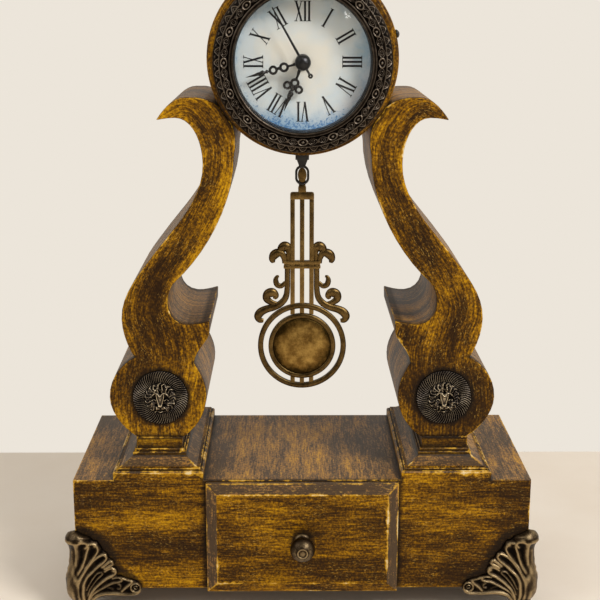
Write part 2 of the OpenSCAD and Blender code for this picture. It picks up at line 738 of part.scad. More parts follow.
// Bezel: a plain lip, an embossed band that slopes back, and a sleeve that
// fits the hole in the drum
module bezel() {
    color(bronze) difference() {
        turned([0, hands_z]) polygon(concat(
            [[sight_r, glass_seat_y - fit], [sight_r, bezel_y + 1], [sight_r + 1, bezel_y],
                [band_r - 0.6, bezel_y], [band_r, bezel_y + 1.2]],
            bezier([band_r + 0.4, bezel_y + 1.2], [band_r + 3, bezel_y - 0.4],
                [bezel_r - 2.4, bezel_y + 1.4], [bezel_r - 0.8, drum_y - 3], 7),
            [[bezel_r - 0.8, drum_y - 3], [bezel_r, drum_y - 1.6], [bezel_r, drum_y], [sleeve_r, drum_y],
                [sleeve_r, dial_y], [sleeve_in_r, dial_y], [sleeve_in_r, glass_seat_y - fit]]));
        side_screw_rod(side_screw_r + fit, sleeve_in_r - 0.5, bezel_r + 9);
    }
}
// The screw in the drum's side, which holds the bezel's sleeve
side_screw_y = drum_y + dial_depth / 2;
side_screw_angle = 15;
module side_screw_rod(r, r0, r1) {
    translate([0, side_screw_y, drum_z]) rotate([0, 90 - side_screw_angle, 0])
        translate([0, 0, r0]) cylinder(r = r, h = r1 - r0, $fn = 32);
}
module bezel_side_screw() {
    color(black) {
        side_screw_rod(side_screw_r, sleeve_in_r + 0.8, drum_r + 0.5);
        intersection() {
            side_screw_rod(side_head_r, drum_r, drum_r + 3);
            translate([0, side_screw_y, drum_z]) rotate([0, 90 - side_screw_angle, 0])
                translate([0, 0, drum_r - 1]) sphere(side_head_r + 0.4, $fn = 32);
        }
    }
}
// Points on one face of the domed glass, from its middle to its edge
function dome(r, steps = 12) = [for (i = [0:steps]) let (a = asin(glass_r / r) * i / steps)
    [r * sin(a), glass_middle_y - r * cos(a)]];
module glass() {
    inner = dome(glass_radius - glass_t);
    color("#cfe0e8", 0.35) turned([0, hands_z]) polygon(concat(dome(glass_radius),
        [for (i = [len(inner) - 1:-1:0]) inner[i]]));
}
module glass_ring() {
    color(black) turned([0, hands_z]) polygon([
        [sight_r - 0.4, glass_seat_y + 3], [glass_r + 0.1, glass_seat_y + 3],
        [glass_r + 0.1, dial_y], [sight_r - 0.4, dial_y]]);
}
module dial() {
    color("#dfe6e2") difference() {
        rod(sleeve_r - 0.4, dial_y, board_y, [0, hands_z], $fn = 96);
        rod(bush_r + fit, dial_y - 1, board_y + 1, [0, hands_z]);
    }
}
module dial_board() {
    color("#6b5a3c") difference() {
        rod(sleeve_r, board_y, case_y, [0, hands_z], $fn = 96);
        rod(bush_r + fit, board_y - 1, case_y + 1, [0, hands_z]);
    }
}
module mounting_nut() {
    color(brass) difference() {
        rod(6.4, dial_y - 2, dial_y, [0, hands_z], $fn = 6);
        rod(bush_r + fit, dial_y - 3, dial_y + 1, [0, hands_z]);
    }
}

// Movement. Everything in it is placed from the hands' axis. One coil turns the
// rotor, and a flat one under the arbor pushes the pendulum's magnet.
magnet_drop = 5.5;
magnet_at = [0, hands_z - magnet_drop];
magnet_r = 3.5;
pulse_coil_r = magnet_drop - second_arbor_r - 0.3;
battery_z = hands_z - case_half + case_wall + battery_r + 0.4;
battery_y = inner_y + battery_r + 0.1;
wheel_axes = [[third_at, 0.6], [step_at, 0.5], [rotor_at, 0.5], [motion_at, 0.7]];
module case_square(half) {
    translate([-half, hands_z - half]) square(2 * half);
}
module wheel_pivots(y0, y1) {
    for (w = wheel_axes) rod(w[1] + run_gap, y0, y1, [w[0][0], hands_z + w[0][1]], $fn = 32);
}
module movement_case() {
    color(plastic) difference() {
        union() {
            plate(case_y, case_split_y) case_square(case_half);
            rod(bush_r, bush_y, case_y + 0.5, [0, hands_z]);
        }
        plate(inner_y, case_split_y + 1) case_square(case_half - case_wall);
        rod(bush_bore_r, bush_y - 1, inner_y + 1, [0, hands_z]);
        wheel_pivots(inner_y - 0.8, inner_y + 1);
    }
}
module movement_cover() {
    color(plastic) difference() {
        union() {
            difference() {
                plate(case_split_y, case_back_y) case_square(case_half);
                plate(case_split_y - 1, inner_back_y) case_square(case_half - case_wall);
                box(-case_half + case_wall, case_half - case_wall, inner_back_y - 1, case_back_y + 1,
                    hands_z - case_half + case_wall, battery_z + battery_r + 0.5);
            }
            rod(pivot_r, inner_back_y, hanger_y + hanger_t + 1, [0, pivot_z]);
            rod(pivot_r + 1.2, inner_back_y, hanger_y - 0.2, [0, pivot_z]);
            rod(pivot_r + 1.2, hanger_y + hanger_t + 0.2, hanger_y + hanger_t + 1, [0, pivot_z]);
        }
        wheel_pivots(inner_back_y - 1, inner_back_y + 0.8);
        rod(second_arbor_r + run_gap, inner_back_y - 1, inner_back_y + 0.8, [0, hands_z]);
        rod(set_arbor_r + run_gap, inner_back_y - 1, case_back_y + 1, [set_at[0], hands_z + set_at[1]]);
    }
}
module battery() {
    color("#7a7d80") translate([0, battery_y, battery_z]) rotate([0, 90, 0]) {
        translate([0, 0, -battery_l / 2]) cylinder(r = battery_r, h = battery_l - 1.5);
        translate([0, 0, battery_l / 2 - 2]) cylinder(r = 2.7, h = 2);
    }
}
module battery_contacts() {
    color(steel) both_sides() box(battery_l / 2 + 0.1, battery_l / 2 + 0.7, inner_y + 1, inner_back_y - 0.5,
        battery_z - 5.5, battery_z + 5.5);
}
module circuit_board() {
    wall = case_half - case_wall - fit;
    color("#1f5a34") box(-wall, -7, inner_y + 3, inner_y + 4, hands_z + 18.7, hands_z + wall);
}
module drive_coils() {
    copper = "#a5622a";
    coil_z = hands_z + case_half - case_wall - 4.1;
    color(copper) {
        translate([0, inner_y + 5.4, coil_z]) rotate([0, 90, 0]) {
            cylinder(r = 3.2, h = 16);
            translate([0, 0, -1]) cylinder(r = 4, h = 1.5);
            translate([0, 0, 15.5]) cylinder(r = 4, h = 1.5);
        }
        difference() {
            rod(pulse_coil_r, inner_back_y - 2, inner_back_y, magnet_at);
            rod(1.5, inner_back_y - 3, inner_back_y + 1, magnet_at);
        }
    }
}

// Wheels. Each is drawn about its own axis and moved to it.
module wheel_at(at) { translate([at[0], 0, hands_z + at[1]]) children(); }
module toothed(y0, y1, teeth, m, phase, bore = 0) {
    plate(y0, y1) difference() {
        gear(teeth, m, phase);
        if (bore > 0) circle(bore, $fn = 48);
    }
}
module pivoted_rod(r) {
    rod(r, inner_y - 0.6, inner_back_y + 0.6, $fn = 32);
}
module rotor() {
    color(steel) wheel_at(rotor_at) {
        pivoted_rod(0.5);
        rod(2.6, centre_wheel_y - 0.6, second_pinion_y + 1.4);
        toothed(step_wheel_y - 0.2, step_wheel_y + 1, rotor_n, step_m, rotor_phase);
    }
}
module step_wheel() {
    color("white") wheel_at(step_at) {
        pivoted_rod(0.5);
        toothed(second_wheel_y - 0.2, second_wheel_y + 1.2, step_pinion_n, second_m, step_phase);
        toothed(step_wheel_y, step_wheel_y + 0.8, step_n, step_m, 0);
    }
}
module third_wheel() {
    color("white") wheel_at(third_at) {
        pivoted_rod(0.6);
        toothed(centre_wheel_y - 0.2, centre_wheel_y + 1.2, third_pinion_n, centre_m, 0);
        toothed(second_pinion_y + 0.3, second_pinion_y + 1.3, third_n, third_m, third_phase);
    }
}
module centre_wheel() {
    color("white") wheel_at([0, 0]) {
        toothed(centre_wheel_y, centre_wheel_y + 1, centre_n, centre_m, centre_phase, minute_bore_r);
        difference() {
            rod(2.4, centre_wheel_y + 0.9, centre_wheel_y + 1.7);
            rod(minute_bore_r, centre_wheel_y - 1, centre_wheel_y + 3, $fn = 48);
        }
    }
}
module second_arbor() {
    color(steel) wheel_at([0, 0]) {
        rod(second_arbor_r, second_hand_y, inner_back_y + 0.6, $fn = 48);
        toothed(second_pinion_y, second_pinion_y + 1.6, second_pinion_n, third_m, 0);
        toothed(second_wheel_y, second_wheel_y + 1, second_n, second_m, 0);
    }
}
module minute_tube() {
    color(brass) wheel_at([0, 0]) {
        difference() {
            rod(minute_tube_r, minute_hand_y - 0.3, cannon_y + 2.3, $fn = 48);
            rod(minute_bore_r, minute_hand_y - 1, cannon_y + 3, $fn = 48);
        }
        toothed(cannon_y, cannon_y + 1.6, cannon_n, motion_m, 0, minute_tube_r - 0.1);
    }
}
module motion_wheel() {
    color("white") wheel_at(motion_at) {
        rod(0.7, inner_y - 0.6, cannon_y + 2, $fn = 32);
        toothed(cannon_y, cannon_y + 1.6, motion_n, motion_m, motion_phase);
        toothed(hour_wheel_y - 0.1, hour_wheel_y + 1.5, motion_pinion_n, hour_m, 0);
    }
}
set_arbor_r = 1.2;
module set_knob() {
    color(plastic) wheel_at(set_at) {
        toothed(cannon_y, cannon_y + 1.6, set_n, motion_m, set_phase);
        rod(set_arbor_r, cannon_y + 1.5, case_back_y + 2, $fn = 48);
        plate(case_back_y + 0.3, case_back_y + 3.3) gear(18, 0.55);
    }
}
module hour_wheel() {
    color("white") wheel_at([0, 0]) difference() {
        union() {
            rod(hour_tube_r, hour_hand_y - 0.2, hour_wheel_y + 1.2, $fn = 48);
            toothed(hour_wheel_y, hour_wheel_y + 1.2, hour_n, hour_m, hour_phase);
        }
        rod(hour_bore_r, hour_hand_y - 1, hour_wheel_y + 2, $fn = 48);
    }
}

// Hands, drawn pointing up from their own axis
module ring(at, r_out, r_in) {
    translate(at) difference() {
        circle(r_out, $fn = 32);
        circle(r_in, $fn = 32);
    }
}
module hand(angle, y, bore) {
    color(black) wheel_at([0, 0]) difference() {
        union() {
            for (i = [0:$children - 1]) plate(y, y + hand_t) rotate(-angle) children(i);
        }
        rod(bore, y - 1, y + 1, $fn = 48);
    }
}
module minute_hand() {
    hand(minute_angle, minute_hand_y, minute_tube_r + 0.01) {
        circle(3.3);
        polygon([[-0.9, 2], [-0.9, 9.8], [0.9, 9.8], [0.9, 2]]);
        ring([0, minute_l - 23.9], 2.5, 1.5);
        polygon([[-0.8, minute_l - 21.7], [-0.8, minute_l - 19.2], [0.8, minute_l - 19.2],
            [0.8, minute_l - 21.7]]);
        ring([0, minute_l - 17.1], 2.5, 1.5);
        polygon([[-0.6, minute_l - 14.9], [-1.5, minute_l - 11.5], [-0.55, minute_l - 7], [0, minute_l],
            [0.55, minute_l - 7], [1.5, minute_l - 11.5], [0.6, minute_l - 14.9]]);
    }
}
module hour_hand() {
    hand(hour_angle, hour_hand_y, hour_tube_r + 0.01) {
        circle(4);
        polygon([[-1.1, 2.5], [-1.1, hour_l - 20], [1.1, hour_l - 20], [1.1, 2.5]]);
        ring([0, hour_l - 18], 2.6, 1.4);
        for (side = [-1, 1]) ring([side * 3.9, hour_l - 15.2], 2.6, 1.5);
        polygon([[-1.4, hour_l - 16], [-1.9, hour_l - 12], [-0.7, hour_l - 7], [0, hour_l],
            [0.7, hour_l - 7], [1.9, hour_l - 12], [1.4, hour_l - 16]]);
    }
}
// The second hand ends in a small loop and carries the ball over the middle
ball_y = second_hand_y - 2.6;
ball_back_y = second_hand_y + 0.3;
ball_end = asin((ball_back_y - ball_y) / ball_r);
ball_arc = [for (i = [0:14]) let (a = -90 + (ball_end + 90) * i / 14)
    [ball_r * cos(a), ball_y + ball_r * sin(a)]];
module second_hand() {
    color(black) wheel_at([0, 0]) {
        plate(second_hand_y, second_hand_y + hand_t) rotate(-second_angle) difference() {
            union() {
                polygon([[-0.55, 0], [-0.3, second_l], [0.3, second_l], [0.55, 0]]);
                polygon([[-0.55, 0], [-0.4, 1.6 - second_tail], [0.4, 1.6 - second_tail], [0.55, 0]]);
                ring([0, 1.4 - second_tail], 1.4, 0.7);
            }
            circle(second_arbor_r + 0.01, $fn = 48);
        }
        turned() polygon(concat(ball_arc, [[second_arbor_r + 0.01, ball_back_y],
            [second_arbor_r + 0.01, second_hand_y], [0, second_hand_y]]));
    }
}

// Pendulum. The hanger turns on the cover's pivot, passes out through the slot
// and ends in an eye. The frame's neck rises behind the eye and plugs into it.
hanger_back_y = hanger_y + hanger_t;
frame_neck_z = eye_z - eye_half_h - fit;
module hanger_plate() { plate(hanger_y, hanger_back_y) children(); }
// An upright oval made of two round ends
module eye(half_w, half_h) {
    for (end = [-1, 1]) translate([0, eye_z + end * (half_h - half_w)]) circle(half_w, $fn = 48);
    translate([-half_w, eye_z - half_h + half_w]) square([2 * half_w, 2 * (half_h - half_w)]);
}
module pendulum_hanger() {
    color(black) difference() {
        union() {
            hanger_plate() translate([0, pivot_z]) circle(5);
            hanger_plate() bar(-hanger_half_w, hanger_half_w, flange_z, pivot_z);
            hanger_plate() translate(magnet_at) circle(magnet_r + 1.7);
            hanger_plate() bar(-flange_half_w, flange_half_w, flange_z, flange_z + flange_h);
            hanger_plate() polygon([[0.8 - flange_half_w, flange_z + 0.2], [flange_half_w - 0.8, flange_z + 0.2],
                [1.9, eye_z + eye_half_h - 0.8], [-1.9, eye_z + eye_half_h - 0.8]]);
            hanger_plate() eye(eye_half_w, eye_half_h);
        }
        rod(pivot_r + run_gap, hanger_y - 1, hanger_back_y + 1, [0, pivot_z]);
        rod(magnet_r + fit, hanger_y - 1, hanger_back_y + 1, magnet_at);
        plate(hanger_y - 1, hanger_back_y + 1) eye(eye_half_w - 1.5, eye_half_h - 1.5);
    }
}
module pendulum_magnet() {
    color(steel) rod(magnet_r, hanger_y, hanger_back_y, magnet_at);
}

// The frame is a flat casting: three bars, two crossbars, scrolls and a ring
module pendulum_frame() {
    color(brass) {
        plate(pendulum_y - pendulum_t / 2, pendulum_y + pendulum_t / 2) frame_outline();
        plate(hanger_y + 0.3, hanger_back_y + 0.5)
            eye(eye_half_w - 1.5 - fit, eye_half_h - 1.5 - fit);
        plate(hanger_back_y + fit, hanger_back_y + 1.2) bar(-2.2, 2.2, frame_top_z - 1, eye_z + 3);
        plate(pendulum_y, hanger_back_y + 1.2) bar(-2.7, 2.7, frame_top_z - 1, frame_neck_z);
    }
}
module scroll(at, r) { translate(at) circle(r, $fn = 32); }
module bar(x0, x1, z0, z1) { translate([x0, z0]) square([x1 - x0, z1 - z0]); }
module frame_outline() {
    top_bar_z = frame_top_z - 4.9;
    mid = bar_w / 2;
    bar(-2.7, 2.7, frame_top_z - 1, frame_neck_z);
    bar(-bars_half_w, bars_half_w, top_bar_z, frame_top_z);
    for (side = [-1, 1]) {
        edge = side * (bars_half_w - mid);
        bar(edge - mid, edge + mid, bob_z + ring_r - 1.5, top_bar_z + 1);
        bar(edge - mid, edge + mid, bob_z - ring_r + 1.5, bob_z - bob_rim_r + 1);
    }
    bar(-mid, mid, bob_z + bob_rim_r - 1, top_bar_z + 1);
    bar(-mid, mid, bob_z - ring_r + 1.5, bob_z - bob_rim_r + 1);
    for (z = [crossbar_z - 0.4, crossbar_z + 2.9]) bar(-12, 12, z, z + 2.1);
    for (side = [-1, 1]) mirror([side < 0 ? 1 : 0, 0]) frame_scrolls();
    ring_at(bob_z, ring_r, ring_r - ring_w);
    ring_at(bob_z, bob_rim_r, bob_r - 0.8);
}
module ring_at(z, r_out, r_in) {
    translate([0, z]) difference() {
        circle(r_out, $fn = 96);
        circle(r_in, $fn = 96);
    }
}
// Scrolls on one side: a pair above the crossbars, a small one below them, a
// long stem that curls at its foot and a leaf that rests on the ring. Points
// above the lower scrolls are drawn from the crossbars, for a ring of this size.
drawn_ring_r = 29.5;
module frame_scrolls() {
    k = ring_r / drawn_ring_r;
    foot_d = -scroll_drop / k;
    translate([0, crossbar_z]) scale(k) {
        scroll([10.6, 13.6], 4.2);
        scroll([16.6, 7.6], 3.8);
        polygon([[7, 2.7], [7, 16.2], [11, 16.2], [15, 9.2], [13, 5.2], [9.5, 2.7]]);
        scroll([13.4, -9.3], 3.1);
        polygon([[7, -0.5], [7, foot_d], [9.5, foot_d - 1], [11.5, -10], [11.5, -0.5]]);
    }
    translate([0, lower_slot_z]) scale(k) {
        scroll([19.8, 4], 4.2);
        polygon([[9, 1], [17, 1.5], [20, -4], [9, -5]]);
        polygon(concat(
            bezier([7, 8], [9, 0], [15, -3.5], [22.5, -2.4], 7),
            bezier([22.5, -2.4], [28, -2], [31, -5.5], [31, -9.6], 6),
            bezier([31, -9.6], [29, -13], [25.5, -11.5], [25.5, -8.6], 5),
            bezier([25.5, -8.6], [18, -9.6], [12, -7.5], [7, -3.6], 6)));
    }
}
// The bob is a flat can with rounded faces, inside the frame's rim
module pendulum_bob() {
    half = bob_t / 2;
    rim = bob_r - 0.8 - fit;
    color(brass) turned([0, bob_z]) polygon(concat(
        [[0, pendulum_y - half]],
        bezier([0, pendulum_y - half], [rim - 4, pendulum_y - half], [rim, pendulum_y - half + 1],
            [rim, pendulum_y - 1], 8),
        [[rim, pendulum_y - 1], [rim, pendulum_y + 1]],
        bezier([rim, pendulum_y + 1], [rim, pendulum_y + half - 1], [rim - 4, pendulum_y + half],
            [0, pendulum_y + half], 8),
        [[0, pendulum_y + half]]));
}

// Drawer
module bevelled(half_x, z0, z1) {
    intersection() {
        plate(face_y, rim_back_y) translate([-half_x, z0]) square([2 * half_x, z1 - z0]);
        translate([0, 0, z0]) linear_extrude(z1 - z0) polygon([[-half_x, rim_back_y], [-half_x, rim_y],
            [-half_x + drawer_bevel, face_y], [half_x - drawer_bevel, face_y], [half_x, rim_y],
            [half_x, rim_back_y]]);
        translate([-half_x, 0, 0]) rotate([90, 0, 90]) linear_extrude(2 * half_x) polygon([
            [rim_back_y, z0], [rim_y, z0], [face_y, z0 + drawer_bevel], [face_y, z1 - drawer_bevel], [rim_y, z1],
            [rim_back_y, z1]]);
    }
}
module drawer_front() {
    color(ochre) difference() {
        union() {
            bevelled(drawer_front_w / 2, drawer_low_z, drawer_top_z);
            box(-drawer_x, drawer_x, rim_back_y - 1, box_y, drawer_z, ceiling_z - drawer_gap);
        }
        rod(knob_screw_r + fit, face_y - 1, box_y + 1, [0, knob_z]);
    }
}
module drawer_sides() {
    color(brown) both_sides()
        box(drawer_x - drawer_wall_t, drawer_x, box_y, box_back_y, drawer_z, drawer_z + drawer_side_h);
}
module drawer_back() {
    inner_x = drawer_x - drawer_wall_t;
    color(brown) box(-inner_x, inner_x, box_back_y - drawer_wall_t, box_back_y, drawer_z,
        drawer_z + drawer_side_h);
}
module drawer_bottom() {
    inner_x = drawer_x - drawer_wall_t;
    color(brown) box(-inner_x, inner_x, box_y, box_back_y - drawer_wall_t, drawer_z,
        drawer_z + drawer_bottom_t);
}
module drawer_knob() {
    middle_y = face_y - knob_l + knob_ball_r - 1;
    color(bronze) difference() {
        turned([0, knob_z]) polygon(concat(
            [[0, face_y], [knob_base_r, face_y], [knob_base_r, face_y - 1.4],
                [knob_base_r - 0.9, face_y - 2.4], [knob_stem_r, face_y - 3]],
            [for (a = [50:-14:-76]) [knob_ball_r * cos(a), middle_y + knob_ball_r * 0.86 * sin(a)]],
            [[3.1, middle_y - knob_ball_r * 0.86], [2.9, face_y - knob_l], [0, face_y - knob_l]]));
        rod(knob_screw_r + fit, face_y - knob_screw_l + 12, face_y + 1, [0, knob_z]);
    }
}
module knob_screw() {
    color(steel) {
        rod(knob_screw_r, box_y - knob_screw_l, box_y + 0.5, [0, knob_z]);
        rod(knob_screw_r * 1.9, box_y, box_y + 2.2, [0, knob_z]);
    }
}

base_top_board();
base_bottom_board();
base_side_left();
base_side_right();
base_back_board();
base_front_left();
base_front_right();
drawer_divider_left();
drawer_divider_right();
pedestal_left();
pedestal_right();
lyre_left();
lyre_right();
medallion_left();
medallion_right();
lyre_screws();
drum_screws();
foot_front_left();
foot_front_right();
foot_back_left();
foot_back_right();
foot_screws();
drum_case();
drum_back_cover();
back_cover_screws();
bezel();
bezel_side_screw();
glass();
glass_ring();
dial();
dial_board();
movement_case();
movement_cover();
battery();
battery_contacts();
circuit_board();
drive_coils();
mounting_nut();
rotor();
step_wheel();
third_wheel();
centre_wheel();
second_arbor();
second_hand();
minute_tube();
minute_hand();
motion_wheel();
set_knob();
hour_wheel();
hour_hand();
pendulum_hanger();
pendulum_magnet();
pendulum_frame();
pendulum_bob();
drawer_front();
drawer_sides();
drawer_back();
drawer_bottom();
drawer_knob();
knob_screw();
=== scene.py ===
import json
import math

import bmesh
import bpy
import numpy as np
from mathutils import Matrix, Vector
from mathutils.bvhtree import BVHTree


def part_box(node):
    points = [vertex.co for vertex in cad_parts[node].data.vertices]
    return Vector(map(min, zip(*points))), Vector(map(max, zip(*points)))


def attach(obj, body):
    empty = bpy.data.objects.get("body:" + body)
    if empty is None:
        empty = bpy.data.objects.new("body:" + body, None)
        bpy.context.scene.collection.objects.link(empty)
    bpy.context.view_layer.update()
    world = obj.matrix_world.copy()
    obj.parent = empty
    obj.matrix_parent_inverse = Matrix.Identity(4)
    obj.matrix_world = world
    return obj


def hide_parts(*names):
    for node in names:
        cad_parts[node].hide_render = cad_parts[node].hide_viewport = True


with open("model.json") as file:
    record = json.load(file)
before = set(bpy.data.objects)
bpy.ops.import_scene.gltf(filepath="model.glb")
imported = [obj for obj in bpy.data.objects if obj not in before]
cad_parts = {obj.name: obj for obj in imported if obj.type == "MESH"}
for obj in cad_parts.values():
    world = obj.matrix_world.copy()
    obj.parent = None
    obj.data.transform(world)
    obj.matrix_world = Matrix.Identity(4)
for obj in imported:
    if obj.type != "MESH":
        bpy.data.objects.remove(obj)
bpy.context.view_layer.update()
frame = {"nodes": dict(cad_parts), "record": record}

MM = 0.001


def span(node):
    """Lowest and highest corner of a CAD node, in millimetres."""
    low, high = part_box(node)
    return low / MM, high / MM


base_low, base_high = span("base_top_board")
HALF_W, FRONT, BACK, TOP = base_high.x, base_low.y, base_high.y, base_high.z
BOTTOM = span("base_bottom_board")[0].z
drum_low, drum_high = span("drum_case")
DRUM_R = drum_high.x
DRUM_Z = (drum_low.z + drum_high.z) / 2
DRUM_Y, DRUM_BACK = drum_low.y, drum_high.y
bezel_low, bezel_high = span("bezel")
HANDS_Z = (bezel_low.z + bezel_high.z) / 2
BEZEL_Y, BEZEL_R = bezel_low.y, bezel_high.x
LYRE_Y = span("lyre_left")[0].y
bob_low, bob_high = span("pendulum_bob")
BOB_Z = (bob_low.z + bob_high.z) / 2
BOB_R = bob_high.x
PENDULUM_Y = (bob_low.y + bob_high.y) / 2
# Radius of the dial that shows, and of the numerals' middle
DIAL_R = 42
NUMERAL_R = 30.4
# How far a face's normal points up before the face counts as level
LEVEL = 0.93


def linear(code, alpha=1.0):
    """An sRGB hex colour as linear light."""
    parts = [int(code[i:i + 2], 16) / 255 for i in (1, 3, 5)]
    return [c / 12.92 if c <= 0.04045 else ((c + 0.055) / 1.055) ** 2.4 for c in parts] + [alpha]


def scale_of(*size):
    """A pattern's scale from its marks' real size in millimetres: one size, or one for each axis."""
    scale = [1 / (length * MM) for length in size]
    return scale[0] if len(scale) == 1 else scale


def put(tree, kind, inputs=None, stops=None, **settings):
    """Adds a node. Each input gets a value, a hex colour, or a link from a node's first working output.

    stops gives a colour ramp its (place, colour) points, where a colour is a hex colour or a grey level.
    """
    node = tree.nodes.new(kind)
    for key, value in settings.items():
        setattr(node, key, value)
    if stops:
        points = node.color_ramp.elements
        while len(points) < len(stops):
            points.new(0.5)
        for point, (place, colour) in zip(points, stops):
            point.position = place
            point.color = linear(colour) if isinstance(colour, str) else (colour, colour, colour, 1)
    for key, value in (inputs or {}).items():
        named = [s for s in node.inputs if s.enabled and s.name == key]
        socket = named[0] if named else node.inputs[key]
        if isinstance(value, bpy.types.Node):
            value = [s for s in value.outputs if s.enabled][0]
        if isinstance(value, bpy.types.NodeSocket):
            tree.links.new(value, socket)
        else:
            socket.default_value = linear(value) if str(value).startswith("#") else value
    return node


def new_material(name):
    """A node material with a Principled shader on its output."""
    material = bpy.data.materials.new(name)
    material.use_nodes = True
    tree = material.node_tree
    tree.nodes.clear()
    shader = put(tree, "ShaderNodeBsdfPrincipled")
    put(tree, "ShaderNodeOutputMaterial", {"Surface": shader})
    return material, tree, shader


def painted_wood():
    """Solid wood under ochre paint that was rubbed over with a dark brown glaze, by brush.

    The eye sees streaks along each stroke, dark glaze caught in corners with painted shade there too, a
    greyer brown on tops and sides that paints their sheen, and paint worn pale along the edges, under a thin
    satin varnish.
    The brush's hairs and the wood's pores are drawn coarser than real ones, so that they show.
    """
    material, tree, shader = new_material("ochre_paint_glaze_and_painted_light")
    brush = put(tree, "ShaderNodeUVMap", uv_map="brush")
    marks = put(tree, "ShaderNodeAttribute", attribute_name="wear_and_painted_light")
    edge, corner_glaze_and_shade, glaze_and_painted_light = put(tree, "ShaderNodeSeparateColor", {0: marks}).outputs
    place = put(tree, "ShaderNodeTexCoord").outputs["Object"]

    fine = put(tree, "ShaderNodeMapping", {"Vector": brush, "Scale": scale_of(11.76, 1.111, 1)})
    hair = put(tree, "ShaderNodeTexNoise", {"Vector": fine, "Scale": 1.0, "Detail": 4.0, "Roughness": 0.65})
    broad = put(tree, "ShaderNodeMapping", {"Vector": brush, "Scale": scale_of(38.46, 6.061, 1)})
    stroke = put(tree, "ShaderNodeTexNoise", {"Vector": broad, "Scale": 1.0, "Detail": 4.0,
                                              "Roughness": 0.62})
    wide = put(tree, "ShaderNodeMapping", {"Vector": brush, "Scale": scale_of(90.91, 21.74, 1)})
    patch = put(tree, "ShaderNodeTexNoise", {"Vector": wide, "Scale": 1.0, "Detail": 3.0, "Roughness": 0.6})
    cloud = put(tree, "ShaderNodeTexNoise", {"Vector": place, "Scale": scale_of(71.43), "Detail": 2.0})
    grain = put(tree, "ShaderNodeTexNoise", {"Vector": place, "Scale": scale_of(1.613), "Detail": 3.0,
                                             "Roughness": 0.7})
    cover = put(tree, "ShaderNodeMath", {0: hair, 1: 0.62, 2: -1.25}, operation="MULTIPLY_ADD")
    for pattern, share in ((stroke, 0.5), (patch, 0.5), (cloud, 0.3), (grain, 0.6)):
        cover = put(tree, "ShaderNodeMath", {0: pattern, 1: share, 2: cover}, operation="MULTIPLY_ADD")
    cover = put(tree, "ShaderNodeMath", {0: cover, 1: 2.3, 2: glaze_and_painted_light}, operation="MULTIPLY_ADD")
    ochre = put(tree, "ShaderNodeValToRGB", {"Fac": cover},
                [(0.0, "#bd8b0c"), (0.2, "#9d6e09"), (0.38, "#785108"), (0.55, "#573807"), (0.72, "#3b2508"),
                 (1.0, "#281706")])
    # A greyer brown for the heaviest glaze values: painted sheen on tops and sides, and painted shade on the
    # darkest bevels.
    sheen_and_shade_ramp = put(tree, "ShaderNodeValToRGB", {"Fac": cover},
                [(0.4, "#cb9428"), (0.58, "#a8782f"), (0.8, "#876134"), (1.0, "#4a3722")])
    # How much of that painted sheen colour a face gets from its glaze value; it also raises the specular
    # level.
    sheen_share = put(tree, "ShaderNodeMapRange", {"Value": glaze_and_painted_light, "From Min": 0.72, "From Max": 0.82,
                                            "To Max": 0.9})
    colour = put(tree, "ShaderNodeMix", {"Factor": sheen_share, "A": ochre, "B": sheen_and_shade_ramp}, data_type="RGBA")

    short = put(tree, "ShaderNodeMapping", {"Vector": brush, "Scale": scale_of(2.381, 0.8696, 1)})
    fleck = put(tree, "ShaderNodeTexNoise", {"Vector": short, "Scale": 1.0, "Detail": 2.0, "Roughness": 0.6})
    light = put(tree, "ShaderNodeValToRGB", {"Fac": fleck}, [(0.58, 0.0), (0.66, 0.45)])
    group = put(tree, "ShaderNodeTexNoise", {"Vector": place, "Scale": scale_of(11.11), "Detail": 2.0})
    some = put(tree, "ShaderNodeValToRGB", {"Fac": group}, [(0.46, 0.0), (0.62, 1.0)])
    spots = put(tree, "ShaderNodeMath", {0: light, 1: some}, operation="MULTIPLY")
    colour = put(tree, "ShaderNodeMix", {"Factor": spots, "A": colour, "B": "#c79c48"}, data_type="RGBA")
    long = put(tree, "ShaderNodeMapping", {"Vector": brush, "Scale": scale_of(8.333, 0.6667, 1)})
    pore = put(tree, "ShaderNodeTexNoise", {"Vector": long, "Scale": 1.0, "Detail": 2.0, "Roughness": 0.7})
    open_pore = put(tree, "ShaderNodeValToRGB", {"Fac": pore}, [(0.33, 0.6), (0.43, 0.0)])
    colour = put(tree, "ShaderNodeMix", {"Factor": open_pore, "A": colour, "B": "#20160c"}, data_type="RGBA")

    ragged = put(tree, "ShaderNodeTexNoise", {"Vector": place, "Scale": scale_of(3.571), "Detail": 4.0,
                                              "Roughness": 0.7})
    # Glaze caught in creases and where other pieces meet, darkened further as painted shade.
    corner_darkening = put(tree, "ShaderNodeMath", {0: ragged, 1: 0.5, 2: corner_glaze_and_shade}, operation="MULTIPLY_ADD")
    dark = put(tree, "ShaderNodeValToRGB", {"Fac": corner_darkening}, [(0.5, 0.0), (1.15, 0.85)])
    colour = put(tree, "ShaderNodeMix", {"Factor": dark, "A": colour, "B": "#1a120b"}, data_type="RGBA")
    uneven = put(tree, "ShaderNodeTexNoise", {"Vector": place, "Scale": scale_of(16.67), "Detail": 3.0})
    worn = put(tree, "ShaderNodeMath", {0: ragged, 1: 1.5, 2: edge}, operation="MULTIPLY_ADD")
    worn = put(tree, "ShaderNodeMath", {0: uneven, 1: 1.9, 2: worn}, operation="MULTIPLY_ADD")
    thinned = put(tree, "ShaderNodeMath", {0: worn, 1: 1.75}, operation="SUBTRACT")
    rubbed = put(tree, "ShaderNodeValToRGB", {"Fac": thinned}, [(0.72, 0.0), (0.95, 0.9)])
    deeper = put(tree, "ShaderNodeMath", {0: worn, 1: 1.95}, operation="SUBTRACT")
    bare = put(tree, "ShaderNodeValToRGB", {"Fac": deeper},
               [(0.5, "#ad7c0d"), (0.85, "#c4952a"), (1.0, "#dcc492")])
    colour = put(tree, "ShaderNodeMix", {"Factor": rubbed, "A": colour, "B": bare}, data_type="RGBA")

